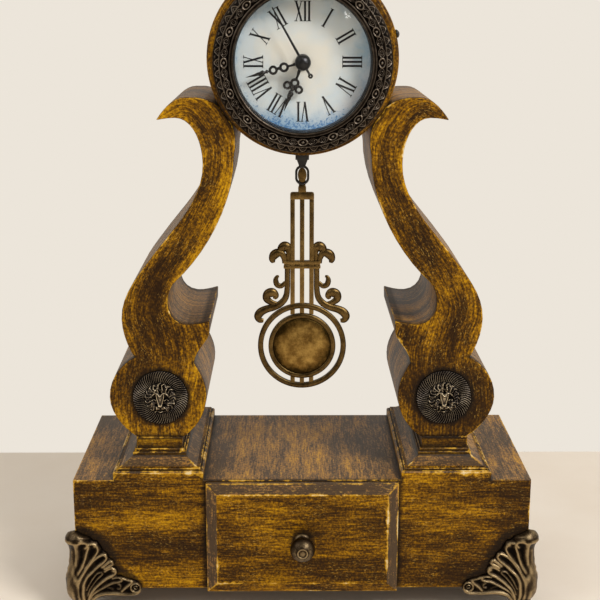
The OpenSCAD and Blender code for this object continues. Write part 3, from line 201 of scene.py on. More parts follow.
    gloss = put(tree, "ShaderNodeMath", {0: hair, 1: 0.26, 2: 0.38}, operation="MULTIPLY_ADD")
    sheen = put(tree, "ShaderNodeMath", {0: sheen_share, 1: 0.22, 2: 0.1}, operation="MULTIPLY_ADD")
    tree.links.new(sheen.outputs[0], shader.inputs["Specular IOR Level"])
    height = put(tree, "ShaderNodeMath", {0: fleck, 1: 0.3, 2: hair}, operation="MULTIPLY_ADD")
    bump = put(tree, "ShaderNodeBump", {"Height": height, "Strength": 0.4, "Distance": 0.00025})
    tree.links.new(colour.outputs[2], shader.inputs["Base Color"])
    tree.links.new(gloss.outputs[0], shader.inputs["Roughness"])
    tree.links.new(bump.outputs[0], shader.inputs["Normal"])
    return material


def bare_wood(name, light, dark):
    """Softwood that was stained and left dull, for what is out of sight. Its grain runs along the piece."""
    material, tree, shader = new_material(name)
    place = put(tree, "ShaderNodeTexCoord").outputs["Object"]
    drawn = put(tree, "ShaderNodeMapping", {"Vector": place, "Scale": scale_of(33.33, 33.33, 1.111)})
    grain = put(tree, "ShaderNodeTexNoise", {"Vector": drawn, "Scale": 1.0, "Detail": 4.0, "Roughness": 0.6})
    cloud = put(tree, "ShaderNodeTexNoise", {"Vector": place, "Scale": scale_of(71.43)})
    level = put(tree, "ShaderNodeMath", {0: grain, 1: 0.6}, operation="MULTIPLY")
    level = put(tree, "ShaderNodeMath", {0: cloud, 1: 0.5, 2: level}, operation="MULTIPLY_ADD")
    colour = put(tree, "ShaderNodeValToRGB", {"Fac": level}, [(0.35, dark), (0.75, light)])
    bump = put(tree, "ShaderNodeBump", {"Height": grain, "Strength": 0.3, "Distance": 0.0002})
    tree.links.new(colour.outputs[0], shader.inputs["Base Color"])
    tree.links.new(bump.outputs[0], shader.inputs["Normal"])
    shader.inputs["Roughness"].default_value = 0.72
    return material


def aged_metal(name, hollow, mid, crest, rough=0.4, pit=0.25, blotch=0.65):
    """Cast metal that was blackened and rubbed back, so that its crests are bright and its hollows dark.

    Its relief attribute is 0 in a hollow and 1 on a crest, and on some pieces it also holds a painted
    highlight. Its grit is coarser than sand, so that it shows.
    """
    material, tree, shader = new_material(name)
    place = put(tree, "ShaderNodeTexCoord").outputs["Object"]
    relief_and_highlight = put(tree, "ShaderNodeAttribute", attribute_name="relief_and_highlight").outputs["Fac"]
    stain = put(tree, "ShaderNodeTexNoise", {"Vector": place, "Scale": scale_of(6.667), "Detail": 4.0,
                                             "Roughness": 0.65})
    grit = put(tree, "ShaderNodeTexNoise", {"Vector": place, "Scale": scale_of(0.7143), "Detail": 3.0,
                                            "Roughness": 0.7})
    level = put(tree, "ShaderNodeMath", {0: stain, 1: blotch, 2: relief_and_highlight}, operation="MULTIPLY_ADD")
    level = put(tree, "ShaderNodeMath", {0: grit, 1: 0.4, 2: level}, operation="MULTIPLY_ADD")
    level = put(tree, "ShaderNodeMath", {0: level, 1: blotch / 2 + 0.2}, operation="SUBTRACT")
    colour = put(tree, "ShaderNodeValToRGB", {"Fac": level}, [(0.15, hollow), (0.5, mid), (0.95, crest)])
    gloss = put(tree, "ShaderNodeMath", {0: stain, 1: 0.3, 2: rough - 0.12}, operation="MULTIPLY_ADD")
    bump = put(tree, "ShaderNodeBump", {"Height": grit, "Strength": pit, "Distance": 0.00015})
    tree.links.new(colour.outputs[0], shader.inputs["Base Color"])
    tree.links.new(gloss.outputs[0], shader.inputs["Roughness"])
    tree.links.new(bump.outputs[0], shader.inputs["Normal"])
    shader.inputs["Metallic"].default_value = 1.0
    return material


def plain(name, light, dark, rough=0.4, metal=0.0, mark=(3.333, 3.333, 3.333), bumps=0.1):
    """A finish with little pattern of its own: two close shades in a fine mottle, and small unevenness.

    mark is the mottle's size in millimetres, which is drawn coarser than a real one, so that it shows.
    """
    material, tree, shader = new_material(name)
    place = put(tree, "ShaderNodeTexCoord").outputs["Object"]
    sized = put(tree, "ShaderNodeMapping", {"Vector": place, "Scale": scale_of(*mark)})
    mottle = put(tree, "ShaderNodeTexNoise", {"Vector": sized, "Scale": 1.0, "Detail": 4.0, "Roughness": 0.6})
    colour = put(tree, "ShaderNodeValToRGB", {"Fac": mottle}, [(0.3, dark), (0.7, light)])
    gloss = put(tree, "ShaderNodeMath", {0: mottle, 1: 0.16, 2: rough - 0.08}, operation="MULTIPLY_ADD")
    bump = put(tree, "ShaderNodeBump", {"Height": mottle, "Strength": bumps, "Distance": 0.0002})
    tree.links.new(colour.outputs[0], shader.inputs["Base Color"])
    tree.links.new(gloss.outputs[0], shader.inputs["Roughness"])
    tree.links.new(bump.outputs[0], shader.inputs["Normal"])
    shader.inputs["Metallic"].default_value = metal
    return material


def dial_paper():
    """Printed card: cream in the middle, pale blue outside, darker blue spatter at the lower edge, and a
    painted lilac tint of shade and reflection at the right edge.
    """
    material, tree, shader = new_material("dial_card_with_blue_spatter")
    place = put(tree, "ShaderNodeTexCoord").outputs["Object"]
    centred = put(tree, "ShaderNodeMapping", {"Vector": place, "Location": (0, 0, -HANDS_Z * MM)})
    across, _, up = put(tree, "ShaderNodeSeparateXYZ", {0: centred}).outputs
    flat = put(tree, "ShaderNodeCombineXYZ", {0: across, 2: up})
    reach = put(tree, "ShaderNodeVectorMath", {0: flat}, operation="LENGTH")
    out = put(tree, "ShaderNodeMath", {0: reach, 1: DIAL_R * MM}, operation="DIVIDE")
    cloud = put(tree, "ShaderNodeTexNoise", {"Vector": flat, "Scale": scale_of(22.22), "Detail": 5.0,
                                             "Roughness": 0.62})
    wash = put(tree, "ShaderNodeTexNoise", {"Vector": flat, "Scale": scale_of(10.53), "Detail": 5.0,
                                            "Roughness": 0.65})
    drops = put(tree, "ShaderNodeTexNoise", {"Vector": flat, "Scale": scale_of(1.538), "Detail": 3.0,
                                             "Roughness": 0.7})
    level = put(tree, "ShaderNodeMath", {0: out, 1: 0.44}, operation="MULTIPLY")
    level = put(tree, "ShaderNodeMath", {0: cloud, 1: 0.95, 2: level}, operation="MULTIPLY_ADD")
    colour = put(tree, "ShaderNodeValToRGB", {"Fac": level},
                 [(0.56, "#f2eee0"), (0.7, "#e8edea"), (0.84, "#dde9ed"), (1.0, "#b4d0e1")])
    warm = put(tree, "ShaderNodeValToRGB", {"Fac": wash}, [(0.5, 0.0), (0.7, 0.26)])
    colour = put(tree, "ShaderNodeMix", {"Factor": warm, "A": colour, "B": "#efdfbd"}, data_type="RGBA")
    low = put(tree, "ShaderNodeMath", {0: out, 1: 0.85, 2: -0.45}, operation="MULTIPLY_ADD")
    low = put(tree, "ShaderNodeMath", {0: up, 1: -24.0, 2: low}, operation="MULTIPLY_ADD")
    low = put(tree, "ShaderNodeMath", {0: wash, 1: 0.9, 2: low}, operation="MULTIPLY_ADD")
    # A lilac tint painted towards the right and lower right edge, for the bezel's shade and the glass's
    # reflection there.
    painted_lilac_light = put(tree, "ShaderNodeMath", {0: up, 1: -9.0, 2: 0.0}, operation="MULTIPLY_ADD")
    painted_lilac_light = put(tree, "ShaderNodeMath", {0: across, 1: 14.0, 2: painted_lilac_light}, operation="MULTIPLY_ADD")
    fine = put(tree, "ShaderNodeMath", {0: drops, 1: 2.4, 2: -1.2}, operation="MULTIPLY_ADD")
    speck = put(tree, "ShaderNodeMath", {0: fine, 1: low}, operation="ADD")
    rim = put(tree, "ShaderNodeMath", {0: fine, 1: 0.7, 2: out}, operation="MULTIPLY_ADD")
    for value, stops, shade in ((painted_lilac_light, [(0.26, 0.0), (0.48, 0.55)], "#bda9c6"),
                                (low, [(0.68, 0.0), (0.92, 0.7)], "#8db9dc"),
                                (speck, [(0.84, 0.0), (0.9, 0.8)], "#3f7fbd"),
                                (rim, [(0.54, 0.0), (0.6, 0.6)], "#6492b4")):
        scaled = put(tree, "ShaderNodeMath", {0: value, 1: 0.5}, operation="MULTIPLY")
        share = put(tree, "ShaderNodeValToRGB", {"Fac": scaled}, stops)
        colour = put(tree, "ShaderNodeMix", {"Factor": share, "A": colour, "B": shade}, data_type="RGBA")
    tree.links.new(colour.outputs[2], shader.inputs["Base Color"])
    shader.inputs["Roughness"].default_value = 0.6
    return material


def clear_glass():
    """Clear watch glass with a low index, for a faint glare. Shadow rays pass it, so the dial is lit."""
    material, tree, shader = new_material("clear_watch_glass")
    shader.inputs["Transmission Weight"].default_value = 1.0
    shader.inputs["Roughness"].default_value = 0.0
    shader.inputs["IOR"].default_value = 1.2
    path = put(tree, "ShaderNodeLightPath").outputs
    through = put(tree, "ShaderNodeMath", {0: path["Is Shadow Ray"], 1: path["Is Diffuse Ray"]},
                  operation="MAXIMUM")
    open_air = put(tree, "ShaderNodeBsdfTransparent")
    mix = put(tree, "ShaderNodeMixShader", {0: through, 1: shader, 2: open_air})
    out = [n for n in tree.nodes if n.type == "OUTPUT_MATERIAL"][0]
    tree.links.new(mix.outputs[0], out.inputs["Surface"])
    return material


PAINT = painted_wood()
DARK_WOOD = bare_wood("stained_softwood", "#5b4228", "#3a2919")
INNER_WOOD = bare_wood("drawer_softwood", "#b08a5c", "#8a673f")
BRONZE = aged_metal("blackened_bronze_casting", "#120e0b", "#453829", "#ad966f", 0.4)
BEZEL_BRONZE = aged_metal("blackened_bronze_pressing", "#15110e", "#3d352d", "#84786a", 0.4)
PEWTER = aged_metal("dark_pewter_casting", "#13100f", "#524a43", "#c9b898", 0.42)
BRASS = aged_metal("antique_brass_casting", "#2a2012", "#7a6138", "#c8a767", 0.36)
BOB_BRASS = aged_metal("worn_brass_sheet", "#33260f", "#7b5d2d", "#c9a45a", 0.42, 0.8, 1.25)
BLACK = plain("black_lacquered_steel", "#1d1b19", "#0e0d0c", 0.35)
BROWN_BLACK = plain("brown_black_lacquered_cap", "#2c2320", "#1b1513", 0.16)
STEEL = plain("zinc_plated_steel", "#b9b9b4", "#9c9c97", 0.35, 1.0)
BRIGHT_BRASS = plain("drawn_brass", "#c9a75a", "#a98740", 0.35, 1.0)
BLACK_PLASTIC = plain("black_moulded_plastic", "#2b2d30", "#222427", 0.5, 0.0, (1.111, 1.111, 1.111), 0.15)
WHITE_PLASTIC = plain("white_acetal_plastic", "#e4e2da", "#d6d4cb", 0.42, 0.0, (2, 2, 2))
SHELL = plain("battery_foil_sleeve", "#3c5c74", "#324e64", 0.35, 0.0, (5, 5, 5))
BOARD = plain("green_circuit_board", "#2f6242", "#264f36", 0.45, 0.0, (2, 2, 2))
COPPER = plain("enamelled_copper_wire", "#b8683a", "#8c4a26", 0.35, 1.0, (20, 0.3333, 20), 0.4)
DIAL = dial_paper()
GLASS = clear_glass()
INK = plain("black_dial_ink", "#17181c", "#101114", 0.55)
SLOT_FINISH = {"painted_wood": DARK_WOOD, "plain_wood": INNER_WOOD, "bronze": BRONZE, "brass": BRIGHT_BRASS,
               "black_metal": BLACK, "steel": STEEL, "black_plastic": BLACK_PLASTIC,
               "white_plastic": WHITE_PLASTIC, "glass": GLASS, "dial_print": DIAL,
               "battery_shell": SHELL, "board": BOARD, "copper": COPPER}
for part in frame["record"]["subparts"]:
    for slot in frame["nodes"][part["node"]].material_slots:
        slot.material = SLOT_FINISH[part["material_slot"]]


def smooth(mesh, angle=35):
    """Smooth shading, but for edges sharper than the angle."""
    mesh.shade_smooth()
    mesh.set_sharp_from_angle(angle=math.radians(angle))


def outward(mesh, weld=2e-6):
    """Merges doubled points and turns all faces outwards."""
    bm = bmesh.new()
    bm.from_mesh(mesh)
    bmesh.ops.remove_doubles(bm, verts=bm.verts, dist=weld)
    bmesh.ops.dissolve_degenerate(bm, edges=bm.edges, dist=1e-7)
    bmesh.ops.recalc_face_normals(bm, faces=bm.faces)
    bm.to_mesh(mesh)
    bm.free()


def add_object(name, mesh):
    """The mesh as an object in the scene."""
    obj = bpy.data.objects.new(name, mesh)
    bpy.context.scene.collection.objects.link(obj)
    return obj


def set_relief_and_highlight(mesh, values):
    """Stores how far each point stands up, from 0 in a hollow to 1 on a crest, with a painted highlight added
    in on some pieces.
    """
    relief_and_highlight = mesh.attributes.new("relief_and_highlight", "FLOAT", "POINT")
    relief_and_highlight.data.foreach_set("value", np.asarray(values, float).ravel())


def make(name, points, faces, material, angle=35, relief_and_highlight=None):
    """A piece from points in millimetres and faces by their numbers, and perhaps its points' relief, which
    may hold a painted highlight.
    """
    mesh = bpy.data.meshes.new(name)
    mesh.from_pydata((np.asarray(points, float) * MM).tolist(), [], faces)
    if relief_and_highlight is not None:
        set_relief_and_highlight(mesh, relief_and_highlight)
    mesh.materials.append(material)
    outward(mesh)
    smooth(mesh, angle)
    return add_object(name, mesh)


def settle(obj, body, slot, *nodes):
    """Puts a finished piece on its body and hides the CAD nodes that it stands for. The slot argument is not
    used.
    """
    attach(obj, body)
    if nodes:
        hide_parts(*nodes)
    return obj


def grid_faces(rows, cols, wrap_rows=False, wrap_cols=False, start=0):
    """Quads of a grid of points that are numbered row by row."""
    faces = []
    for i in range(rows if wrap_rows else rows - 1):
        for j in range(cols if wrap_cols else cols - 1):
            a, b = i * cols, ((i + 1) % rows) * cols
            k = (j + 1) % cols
            faces.append((start + a + j, start + a + k, start + b + k, start + b + j))
    return faces


def turned(profile, at, steps=96):
    """Points and faces of a closed profile of (radius, y) points turned about a line along Y through at."""
    turn = np.linspace(0, 2 * math.pi, steps, endpoint=False)
    points = [(at[0] + r * math.cos(a), y, at[1] + r * math.sin(a)) for r, y in profile for a in turn]
    return points, grid_faces(len(profile), steps, True, True)


def curve_points(ends, steps=12):
    """Points on a cubic curve through four control points."""
    a, b, c, d = (np.array(p, float) for p in ends)
    t = np.linspace(0, 1, steps + 1)[:, None]
    return (1 - t) ** 3 * a + 3 * (1 - t) ** 2 * t * b + 3 * (1 - t) * t * t * c + t ** 3 * d


def smooth_path(points, steps=6):
    """Points on a smooth curve through the given ones."""
    p = np.array(points, float)
    p = np.vstack([2 * p[0] - p[1], p, 2 * p[-1] - p[-2]])
    out = []
    for i in range(1, len(p) - 2):
        for t in np.linspace(0, 1, steps, endpoint=False):
            out.append(0.5 * (2 * p[i] + (p[i + 1] - p[i - 1]) * t
                              + (2 * p[i - 1] - 5 * p[i] + 4 * p[i + 1] - p[i + 2]) * t * t
                              + (3 * p[i] - p[i - 1] - 3 * p[i + 1] + p[i + 2]) * t ** 3))
    out.append(p[-2])
    return np.array(out)


def segment_distance(points, starts, ends, chunk=2000):
    """Distance of each point to the nearest of the segments, and that segment's number and share."""
    best = np.full(len(points), 1e9)
    which = np.zeros(len(points), int)
    share = np.zeros(len(points))
    line = ends - starts
    size = np.maximum((line ** 2).sum(1), 1e-12)
    for k in range(0, len(points), chunk):
        p = points[k:k + chunk, None, :]
        t = np.clip(((p - starts) * line).sum(2) / size, 0, 1)
        d = np.linalg.norm(p - starts - t[..., None] * line, axis=2)
        n = d.argmin(1)
        rows = np.arange(len(n))
        best[k:k + chunk], which[k:k + chunk], share[k:k + chunk] = d[rows, n], n, t[rows, n]
    return best, which, share


def copy_of(node, name):
    """A welded copy of a CAD node's mesh, with its faces turned outwards."""
    mesh = frame["nodes"][node].data.copy()
    mesh.name = name
    outward(mesh)
    return add_object(name, mesh)


def joined(name, nodes):
    """One solid from the copies of CAD nodes that are painted over as one."""
    first = copy_of(nodes[0], name)
    for node in nodes[1:]:
        other = copy_of(node, name + "_part")
        cut = first.modifiers.new("union", "BOOLEAN")
        cut.object = other
        cut.operation = "UNION"
        cut.solver = "EXACT"
        whole = first.evaluated_get(bpy.context.evaluated_depsgraph_get())
        mesh = bpy.data.meshes.new_from_object(whole)
        first.modifiers.clear()
        first.data = mesh
        bpy.data.objects.remove(other)
    return first


def crease_edges(bm, least):
    """The sharp edges of a mesh as segments: first those that stand out, then those that fall in."""
    out, inner = [], []
    for edge in bm.edges:
        if len(edge.link_faces) == 2 and edge.calc_face_angle(0) > math.radians(least):
            ends = [v.co.copy() for v in edge.verts]
            (out if edge.is_convex else inner).append(ends)
    return out, inner


def round_edges(bm, width, least, longer=0.0):
    """Bevels the edges that stand out, if they are sharp and long enough."""
    edges = [e for e in bm.edges if len(e.link_faces) == 2 and e.is_convex
             and e.calc_face_angle(0) > math.radians(least) and e.calc_length() > longer]
    bmesh.ops.bevel(bm, geom=edges, offset=width, segments=2, profile=0.6, affect="EDGES",
                    clamp_overlap=True)


def slice_up(bm, step):
    """Cuts the faces along planes a step apart, so that marks on them can change from place to place."""
    co = np.array([v.co for v in bm.verts])
    for axis in range(3):
        normal = Vector([1.0 if k == axis else 0.0 for k in range(3)])
        low, high = co[:, axis].min(), co[:, axis].max()
        for at in np.arange(low + step * 0.53, high, step):
            bmesh.ops.bisect_plane(bm, geom=bm.verts[:] + bm.edges[:] + bm.faces[:], dist=1e-7,
                                   plane_co=normal * float(at), plane_no=normal)


def paint(obj, stroke, glaze_and_painted_light, near=(), bevel=0.7, step=3.6, least=24, longer=2.2, fade=0.06):
    """Rounds a wooden piece's edges and marks it for its paint.

    stroke gives a face's brush direction as (u, v) from its points and normals, and the function after it how
    dark the face is from glaze, greyed on tops and sides as painted sheen and darkened on some bevels as
    painted shade.
    near are the CAD nodes in whose corners the glaze was caught and painted shade falls, and fade is how much
    of the glaze was rubbed off towards the edges. Edges of least degrees or more are worn, and those longer
    than longer millimetres are rounded by bevel.
    """
    worn_reach, faded_reach, inner_dark_reach, corner_reach = 2.2 * MM, 8 * MM, 3.2 * MM, 4.5 * MM
    mesh = obj.data
    bm = bmesh.new()
    bm.from_mesh(mesh)
    bmesh.ops.dissolve_limit(bm, angle_limit=math.radians(0.6), verts=bm.verts, edges=bm.edges)
    out, inner = crease_edges(bm, least)
    round_edges(bm, bevel * MM, 50, longer * MM)
    bmesh.ops.triangulate(bm, faces=bm.faces)
    slice_up(bm, step * MM)
    bmesh.ops.remove_doubles(bm, verts=bm.verts, dist=1e-6)
    bm.to_mesh(mesh)
    bm.free()
    smooth(mesh, 30)
    mesh.materials.clear()
    mesh.materials.append(PAINT)

    co = np.empty(len(mesh.vertices) * 3)
    mesh.vertices.foreach_get("co", co)
    co = co.reshape(-1, 3)

    def off(segments):
        """Distance of each of the mesh's points to the nearest segment."""
        if not segments:
            return np.ones(len(co))
        ends = np.array([[list(a), list(b)] for a, b in segments])
        return segment_distance(co, ends[:, 0], ends[:, 1])[0]

    gap = off(out)
    edge = np.clip(1 - gap / worn_reach, 0, 1)
    rubbed = fade * np.clip(1 - gap / faded_reach, 0, 1)
    # Dark in creases and next to the near pieces: caught glaze together with painted shade.
    corner_glaze_and_shade = np.clip(1 - off(inner) / inner_dark_reach, 0, 1)
    for node in near:
        tree = BVHTree.FromPolygons([v.co for v in frame["nodes"][node].data.vertices],
                                    [p.vertices for p in frame["nodes"][node].data.polygons])
        found = [tree.find_nearest(p, 0.006)[3] for p in co.tolist()]
        gap = np.array([1.0 if d is None else d for d in found])
        corner_glaze_and_shade = np.maximum(corner_glaze_and_shade, np.clip(1 - gap / corner_reach, 0, 1))

    corners = np.empty(len(mesh.loops), int)
    mesh.loops.foreach_get("vertex_index", corners)
    normals = np.empty(len(mesh.polygons) * 3)
    mesh.polygons.foreach_get("normal", normals)
    counts = np.empty(len(mesh.polygons), int)
    mesh.polygons.foreach_get("loop_total", counts)
    n = np.repeat(normals.reshape(-1, 3), counts, axis=0)
    p = co[corners]
    middle = np.add.reduceat(p, np.concatenate([[0], np.cumsum(counts)[:-1]])) / counts[:, None]
    middle = np.repeat(middle, counts, axis=0)
    u, v = stroke(p, n, middle)
    mesh.uv_layers.new(name="brush").data.foreach_set("uv", np.stack([u, v], 1).ravel())
    # The attribute holds edge wear, corner glaze with painted shade, and glaze with painted sheen.
    wear_and_painted_light = mesh.attributes.new("wear_and_painted_light", "FLOAT_COLOR", "CORNER")
    values = np.stack([edge[corners], corner_glaze_and_shade[corners], glaze_and_painted_light(p, n, middle) - rubbed[corners],
                       np.ones(len(p))], 1)
    wear_and_painted_light.data.foreach_set("color", values.ravel())
    return obj


def box_stroke(p, n, middle):
    """Along the front, front to back on level faces, and along each moulding and bevel."""
    ax, ay, az = abs(n[:, 0]), abs(n[:, 1]), abs(n[:, 2])
    level = az > LEVEL
    front = ~level & (ay >= ax)
    u = np.where(level, p[:, 1], np.where(front, p[:, 0], p[:, 1] + 0.31))
    v = np.where(level, p[:, 0] + 0.7, np.where(front, p[:, 2] + 0.7 * p[:, 1], p[:, 2] + 0.7 * p[:, 0]))
    upright = front & (ax > 0.15)
    return np.where(upright, p[:, 2], u), np.where(upright, p[:, 0] + 0.7 * p[:, 1], v)


def case_glaze_and_sheen(p, n, middle):
    """How dark the base is: ochre on the front and darker at its ends, and greyed on the sides and the top,
    where the grey paints their sheen.

    The left front's bands lie as in the photograph, by height, and the top's shades by distance from
    the middle.
    """
    x, z = abs(middle[:, 0]) / MM, middle[:, 2] / MM
    level = n[:, 2] > LEVEL
    value = np.full(len(p), 0.5)
    bands = np.interp(z - BOTTOM, [0, 8, 20, 34, 46, 60, 80], [0.4, 0.44, 0.64, 0.6, 0.36, 0.56, 0.5])
    ends = 0.2 * np.clip((x - 124) / 22, 0, 1)
    board = np.interp(x, [15, 45, 62, 100], [0.84, 0.87, 0.95, 0.88])
    # Sides, back and level tops get greyed values, which paint their sheen.
    for there, shade in ((n[:, 1] < -0.7, np.where(middle[:, 0] < 0, bands, value) + ends),
                         (abs(n[:, 0]) > 0.7, 0.84), (n[:, 1] > 0.7, 0.8), ((n[:, 2] > 0.25) & ~level, 1.02),
                         (level & (z < TOP + 1), board), (level & (z > TOP + 1), 0.6), (n[:, 2] < -0.7, 1.0)):
        value = np.where(there, shade, value)
    return value


def box_glaze_and_shade(p, n, middle):
    """The drawer's front: ochre face and lower bevel, and upper and side bevels darkened with glaze and
    painted shade.
    """
    # The upper and side bevels' dark values paint shade as well as glaze.
    value = np.where(n[:, 2] > 0.2, 1.24, 0.52)
    value = np.where(abs(n[:, 0]) > 0.2, 1.1, value)
    return np.where((n[:, 2] < -0.2) & (n[:, 2] > -0.8), 0.5, value)


LYRE_LINE = smooth_path([(94, 20), (94.5, 53), (90, 78), (94, 98), (98, 112), (90, 133), (76, 155), (63, 178),
                         (54, 200), (54, 220), (66, 238), (78, 241), (93, 232)])


def lyre_stroke(p, n, middle):
    """Along the lyre's own curve, with each lyre's streaks its own."""
    flat = np.stack([abs(p[:, 0]), p[:, 2] - TOP * MM], 1)
    line = LYRE_LINE * MM
    d, which, share = segment_distance(flat, line[:-1], line[1:])
    length = np.concatenate([[0], np.cumsum(np.linalg.norm(np.diff(line, axis=0), axis=1))])
    along = length[which] + share * np.diff(length)[which]
    ahead = (line[1:] - line[:-1])[which]
    away = flat - line[:-1][which]
    d = d * np.sign(ahead[:, 0] * away[:, 1] - ahead[:, 1] * away[:, 0])
    front = abs(n[:, 1]) > 0.6
    side = np.where(p[:, 0] > 0, 0.37, 0.11)
    return along + side, np.where(front, d, p[:, 1] + 0.4 * d) + side


def lyre_glaze_and_sheen(p, n, middle):
    """Ochre on the left front, darker on the right one, and a greyed glaze on the sides of the curve that
    paints their sheen.
    """
    shade = np.where(middle[:, 0] < 0, 0.54, 0.715)
    # The sides' greyed value paints their sheen.
    return np.where(n[:, 1] < -0.6, shade, 0.84)


def drum_stroke(p, n, middle):
    """Round the drum."""
    angle = np.arctan2(p[:, 2] - DRUM_Z * MM, p[:, 0])
    turn = np.arctan2(middle[:, 2] - DRUM_Z * MM, middle[:, 0])
    angle = np.where(angle - turn > math.pi, angle - 2 * math.pi, angle)
    angle = np.where(turn - angle > math.pi, angle + 2 * math.pi, angle)
    r = np.hypot(p[:, 0], p[:, 2] - DRUM_Z * MM)
    return angle * DRUM_R * MM, p[:, 1] + r


def drum_glaze_and_sheen(p, n, middle):
    """Bright ochre round the drum, darker on its front, and greyed on its back as painted sheen."""
    return np.where(n[:, 1] > 0.6, 0.8, np.where(n[:, 1] < -0.5, 0.5, 0.33))


case_nodes = ["base_top_board", "base_bottom_board", "base_front_left", "base_front_right", "base_side_left",
              "base_side_right", "pedestal_left", "pedestal_right"]
feet_nodes = ["foot_front_left", "foot_front_right", "foot_back_left", "foot_back_right"]
case = paint(joined("painted_base", case_nodes), box_stroke, case_glaze_and_sheen,
             near=feet_nodes + ["lyre_left", "lyre_right", "drawer_front"], bevel=0.55, step=4.4)
settle(case, "clock", "painted_wood", *case_nodes)
drawer_front = paint(copy_of("drawer_front", "painted_drawer_front"), box_stroke, box_glaze_and_shade,
                     near=["drawer_knob"], bevel=0.5, step=3.0, least=8)
settle(drawer_front, "drawer", "painted_wood", "drawer_front")
for side in ("left", "right"):
    lyre = paint(copy_of("lyre_" + side, "painted_lyre_" + side), lyre_stroke, lyre_glaze_and_sheen,
                 near=["medallion_" + side, "pedestal_" + side, "drum_case"],
                 bevel=1.0, step=4.4, longer=1.2, fade=0.26)
    settle(lyre, "clock", "painted_wood", "lyre_" + side)
drum = paint(copy_of("drum_case", "painted_drum"), drum_stroke, drum_glaze_and_sheen,
             near=["lyre_left", "lyre_right"], bevel=0.6, step=6.0)
settle(drum, "clock", "painted_wood", "drum_case")


def rub(obj, gain=0.6, front=0.55, floor=0.1):
    """Marks a piece as rubbed bright where it bulges and dark where it is hollow, with a painted highlight
    where it faces front.
    """
    mesh = obj.data
    co = np.array([v.co for v in mesh.vertices])
    n = np.array([v.normal for v in mesh.vertices])
    pairs = np.array([e.vertices for e in mesh.edges])
    step = co[pairs[:, 1]] - co[pairs[:, 0]]
    step /= np.maximum(np.linalg.norm(step, axis=1), 1e-9)[:, None]
    bulge = np.zeros(len(co))
    count = np.zeros(len(co))
    for k, sign in ((0, -1), (1, 1)):
        np.add.at(bulge, pairs[:, k], sign * (n[pairs[:, k]] * step).sum(1))
        np.add.at(count, pairs[:, k], 1)
    bulge /= np.maximum(count, 1)
    # The front term paints a highlight on faces that look forward.
    level = floor + gain * np.clip(bulge * 2, -1, 1) + front * np.clip(-n[:, 1], 0, 1) ** 1.5
    if "relief_and_highlight" in mesh.attributes:
        mesh.attributes.remove(mesh.attributes["relief_and_highlight"])
    set_relief_and_highlight(mesh, np.clip(level, 0, 1))
    return obj


def cut_plate(name, outline, y0, y1, material, bevel):
    """A flat plate of an (x, z) outline between two depths, with rounded edges."""
    bm = bmesh.new()
    points = [bm.verts.new((x * MM, y0 * MM, z * MM)) for x, z in outline]
    edges = [bm.edges.new((a, b)) for a, b in zip(points, points[1:] + points[:1])]
    fill = bmesh.ops.triangle_fill(bm, edges=edges, use_beauty=True, use_dissolve=False, normal=(0, 1, 0))
    faces = [f for f in fill["geom"] if isinstance(f, bmesh.types.BMFace)]
    push = bmesh.ops.extrude_face_region(bm, geom=faces)
    moved = [v for v in push["geom"] if isinstance(v, bmesh.types.BMVert)]
    bmesh.ops.translate(bm, verts=moved, vec=(0, (y1 - y0) * MM, 0))
    bmesh.ops.recalc_face_normals(bm, faces=bm.faces)
    bmesh.ops.dissolve_limit(bm, angle_limit=0.01, verts=bm.verts, edges=bm.edges)
    sharp = [e for e in bm.edges if len(e.link_faces) == 2 and e.calc_face_angle(0) > 1.2]
    bmesh.ops.bevel(bm, geom=sharp, offset=bevel * MM, segments=2, profile=0.6, affect="EDGES",
                    clamp_overlap=True)
    bmesh.ops.triangulate(bm, faces=bm.faces)
    mesh = bpy.data.meshes.new(name)
    bm.to_mesh(mesh)
    bm.free()
    mesh.materials.append(material)
    outward(mesh)
    smooth(mesh, 40)
    return add_object(name, mesh)


def merged(name, objects):
    """One object from several."""
    bm = bmesh.new()
    for obj in objects:
        bm.from_mesh(obj.data)
    mesh = objects[0].data.copy()
    mesh.name = name
    bm.to_mesh(mesh)
    bm.free()
    for obj in objects:
        bpy.data.objects.remove(obj)
    return add_object(name, mesh)


def growth(name, result, **inputs):
    """A geometry tree with named inputs of the given kinds and one result, and its input sockets."""
    tree = bpy.data.node_groups.new(name, "GeometryNodeTree")
    for label, kind in inputs.items():
        tree.interface.new_socket(label, in_out="INPUT", socket_type="NodeSocket" + kind)
    tree.interface.new_socket(result, in_out="OUTPUT", socket_type="NodeSocketGeometry")
    return tree, put(tree, "NodeGroupInput").outputs


def ring_tree():
    """Turns copies of a tile about the Y axis through Centre, and welds them into one ring."""
    tree, given = growth("tile_ring", "Ring", Tile="Geometry", Copies="Int", Centre="Vector", Weld="Float",
                         Finish="Material")
    spots = put(tree, "GeometryNodePoints", {"Count": given["Copies"], "Position": given["Centre"]})
    number = put(tree, "GeometryNodeInputIndex")
    share = put(tree, "ShaderNodeMath", {0: number, 1: given["Copies"]}, operation="DIVIDE")
    angle = put(tree, "ShaderNodeMath", {0: share, 1: 2 * math.pi}, operation="MULTIPLY")
    turn = put(tree, "ShaderNodeCombineXYZ", {"Y": angle})
    copies = put(tree, "GeometryNodeInstanceOnPoints",
                 {"Points": spots, "Instance": given["Tile"], "Rotation": turn})
    real = put(tree, "GeometryNodeRealizeInstances", {0: copies})
    weld = put(tree, "GeometryNodeMergeByDistance", {"Geometry": real, "Distance": given["Weld"]})
    finish = put(tree, "GeometryNodeSetMaterial", {"Geometry": weld, "Material": given["Finish"]})
    put(tree, "NodeGroupOutput", {"Ring": finish})
    return tree


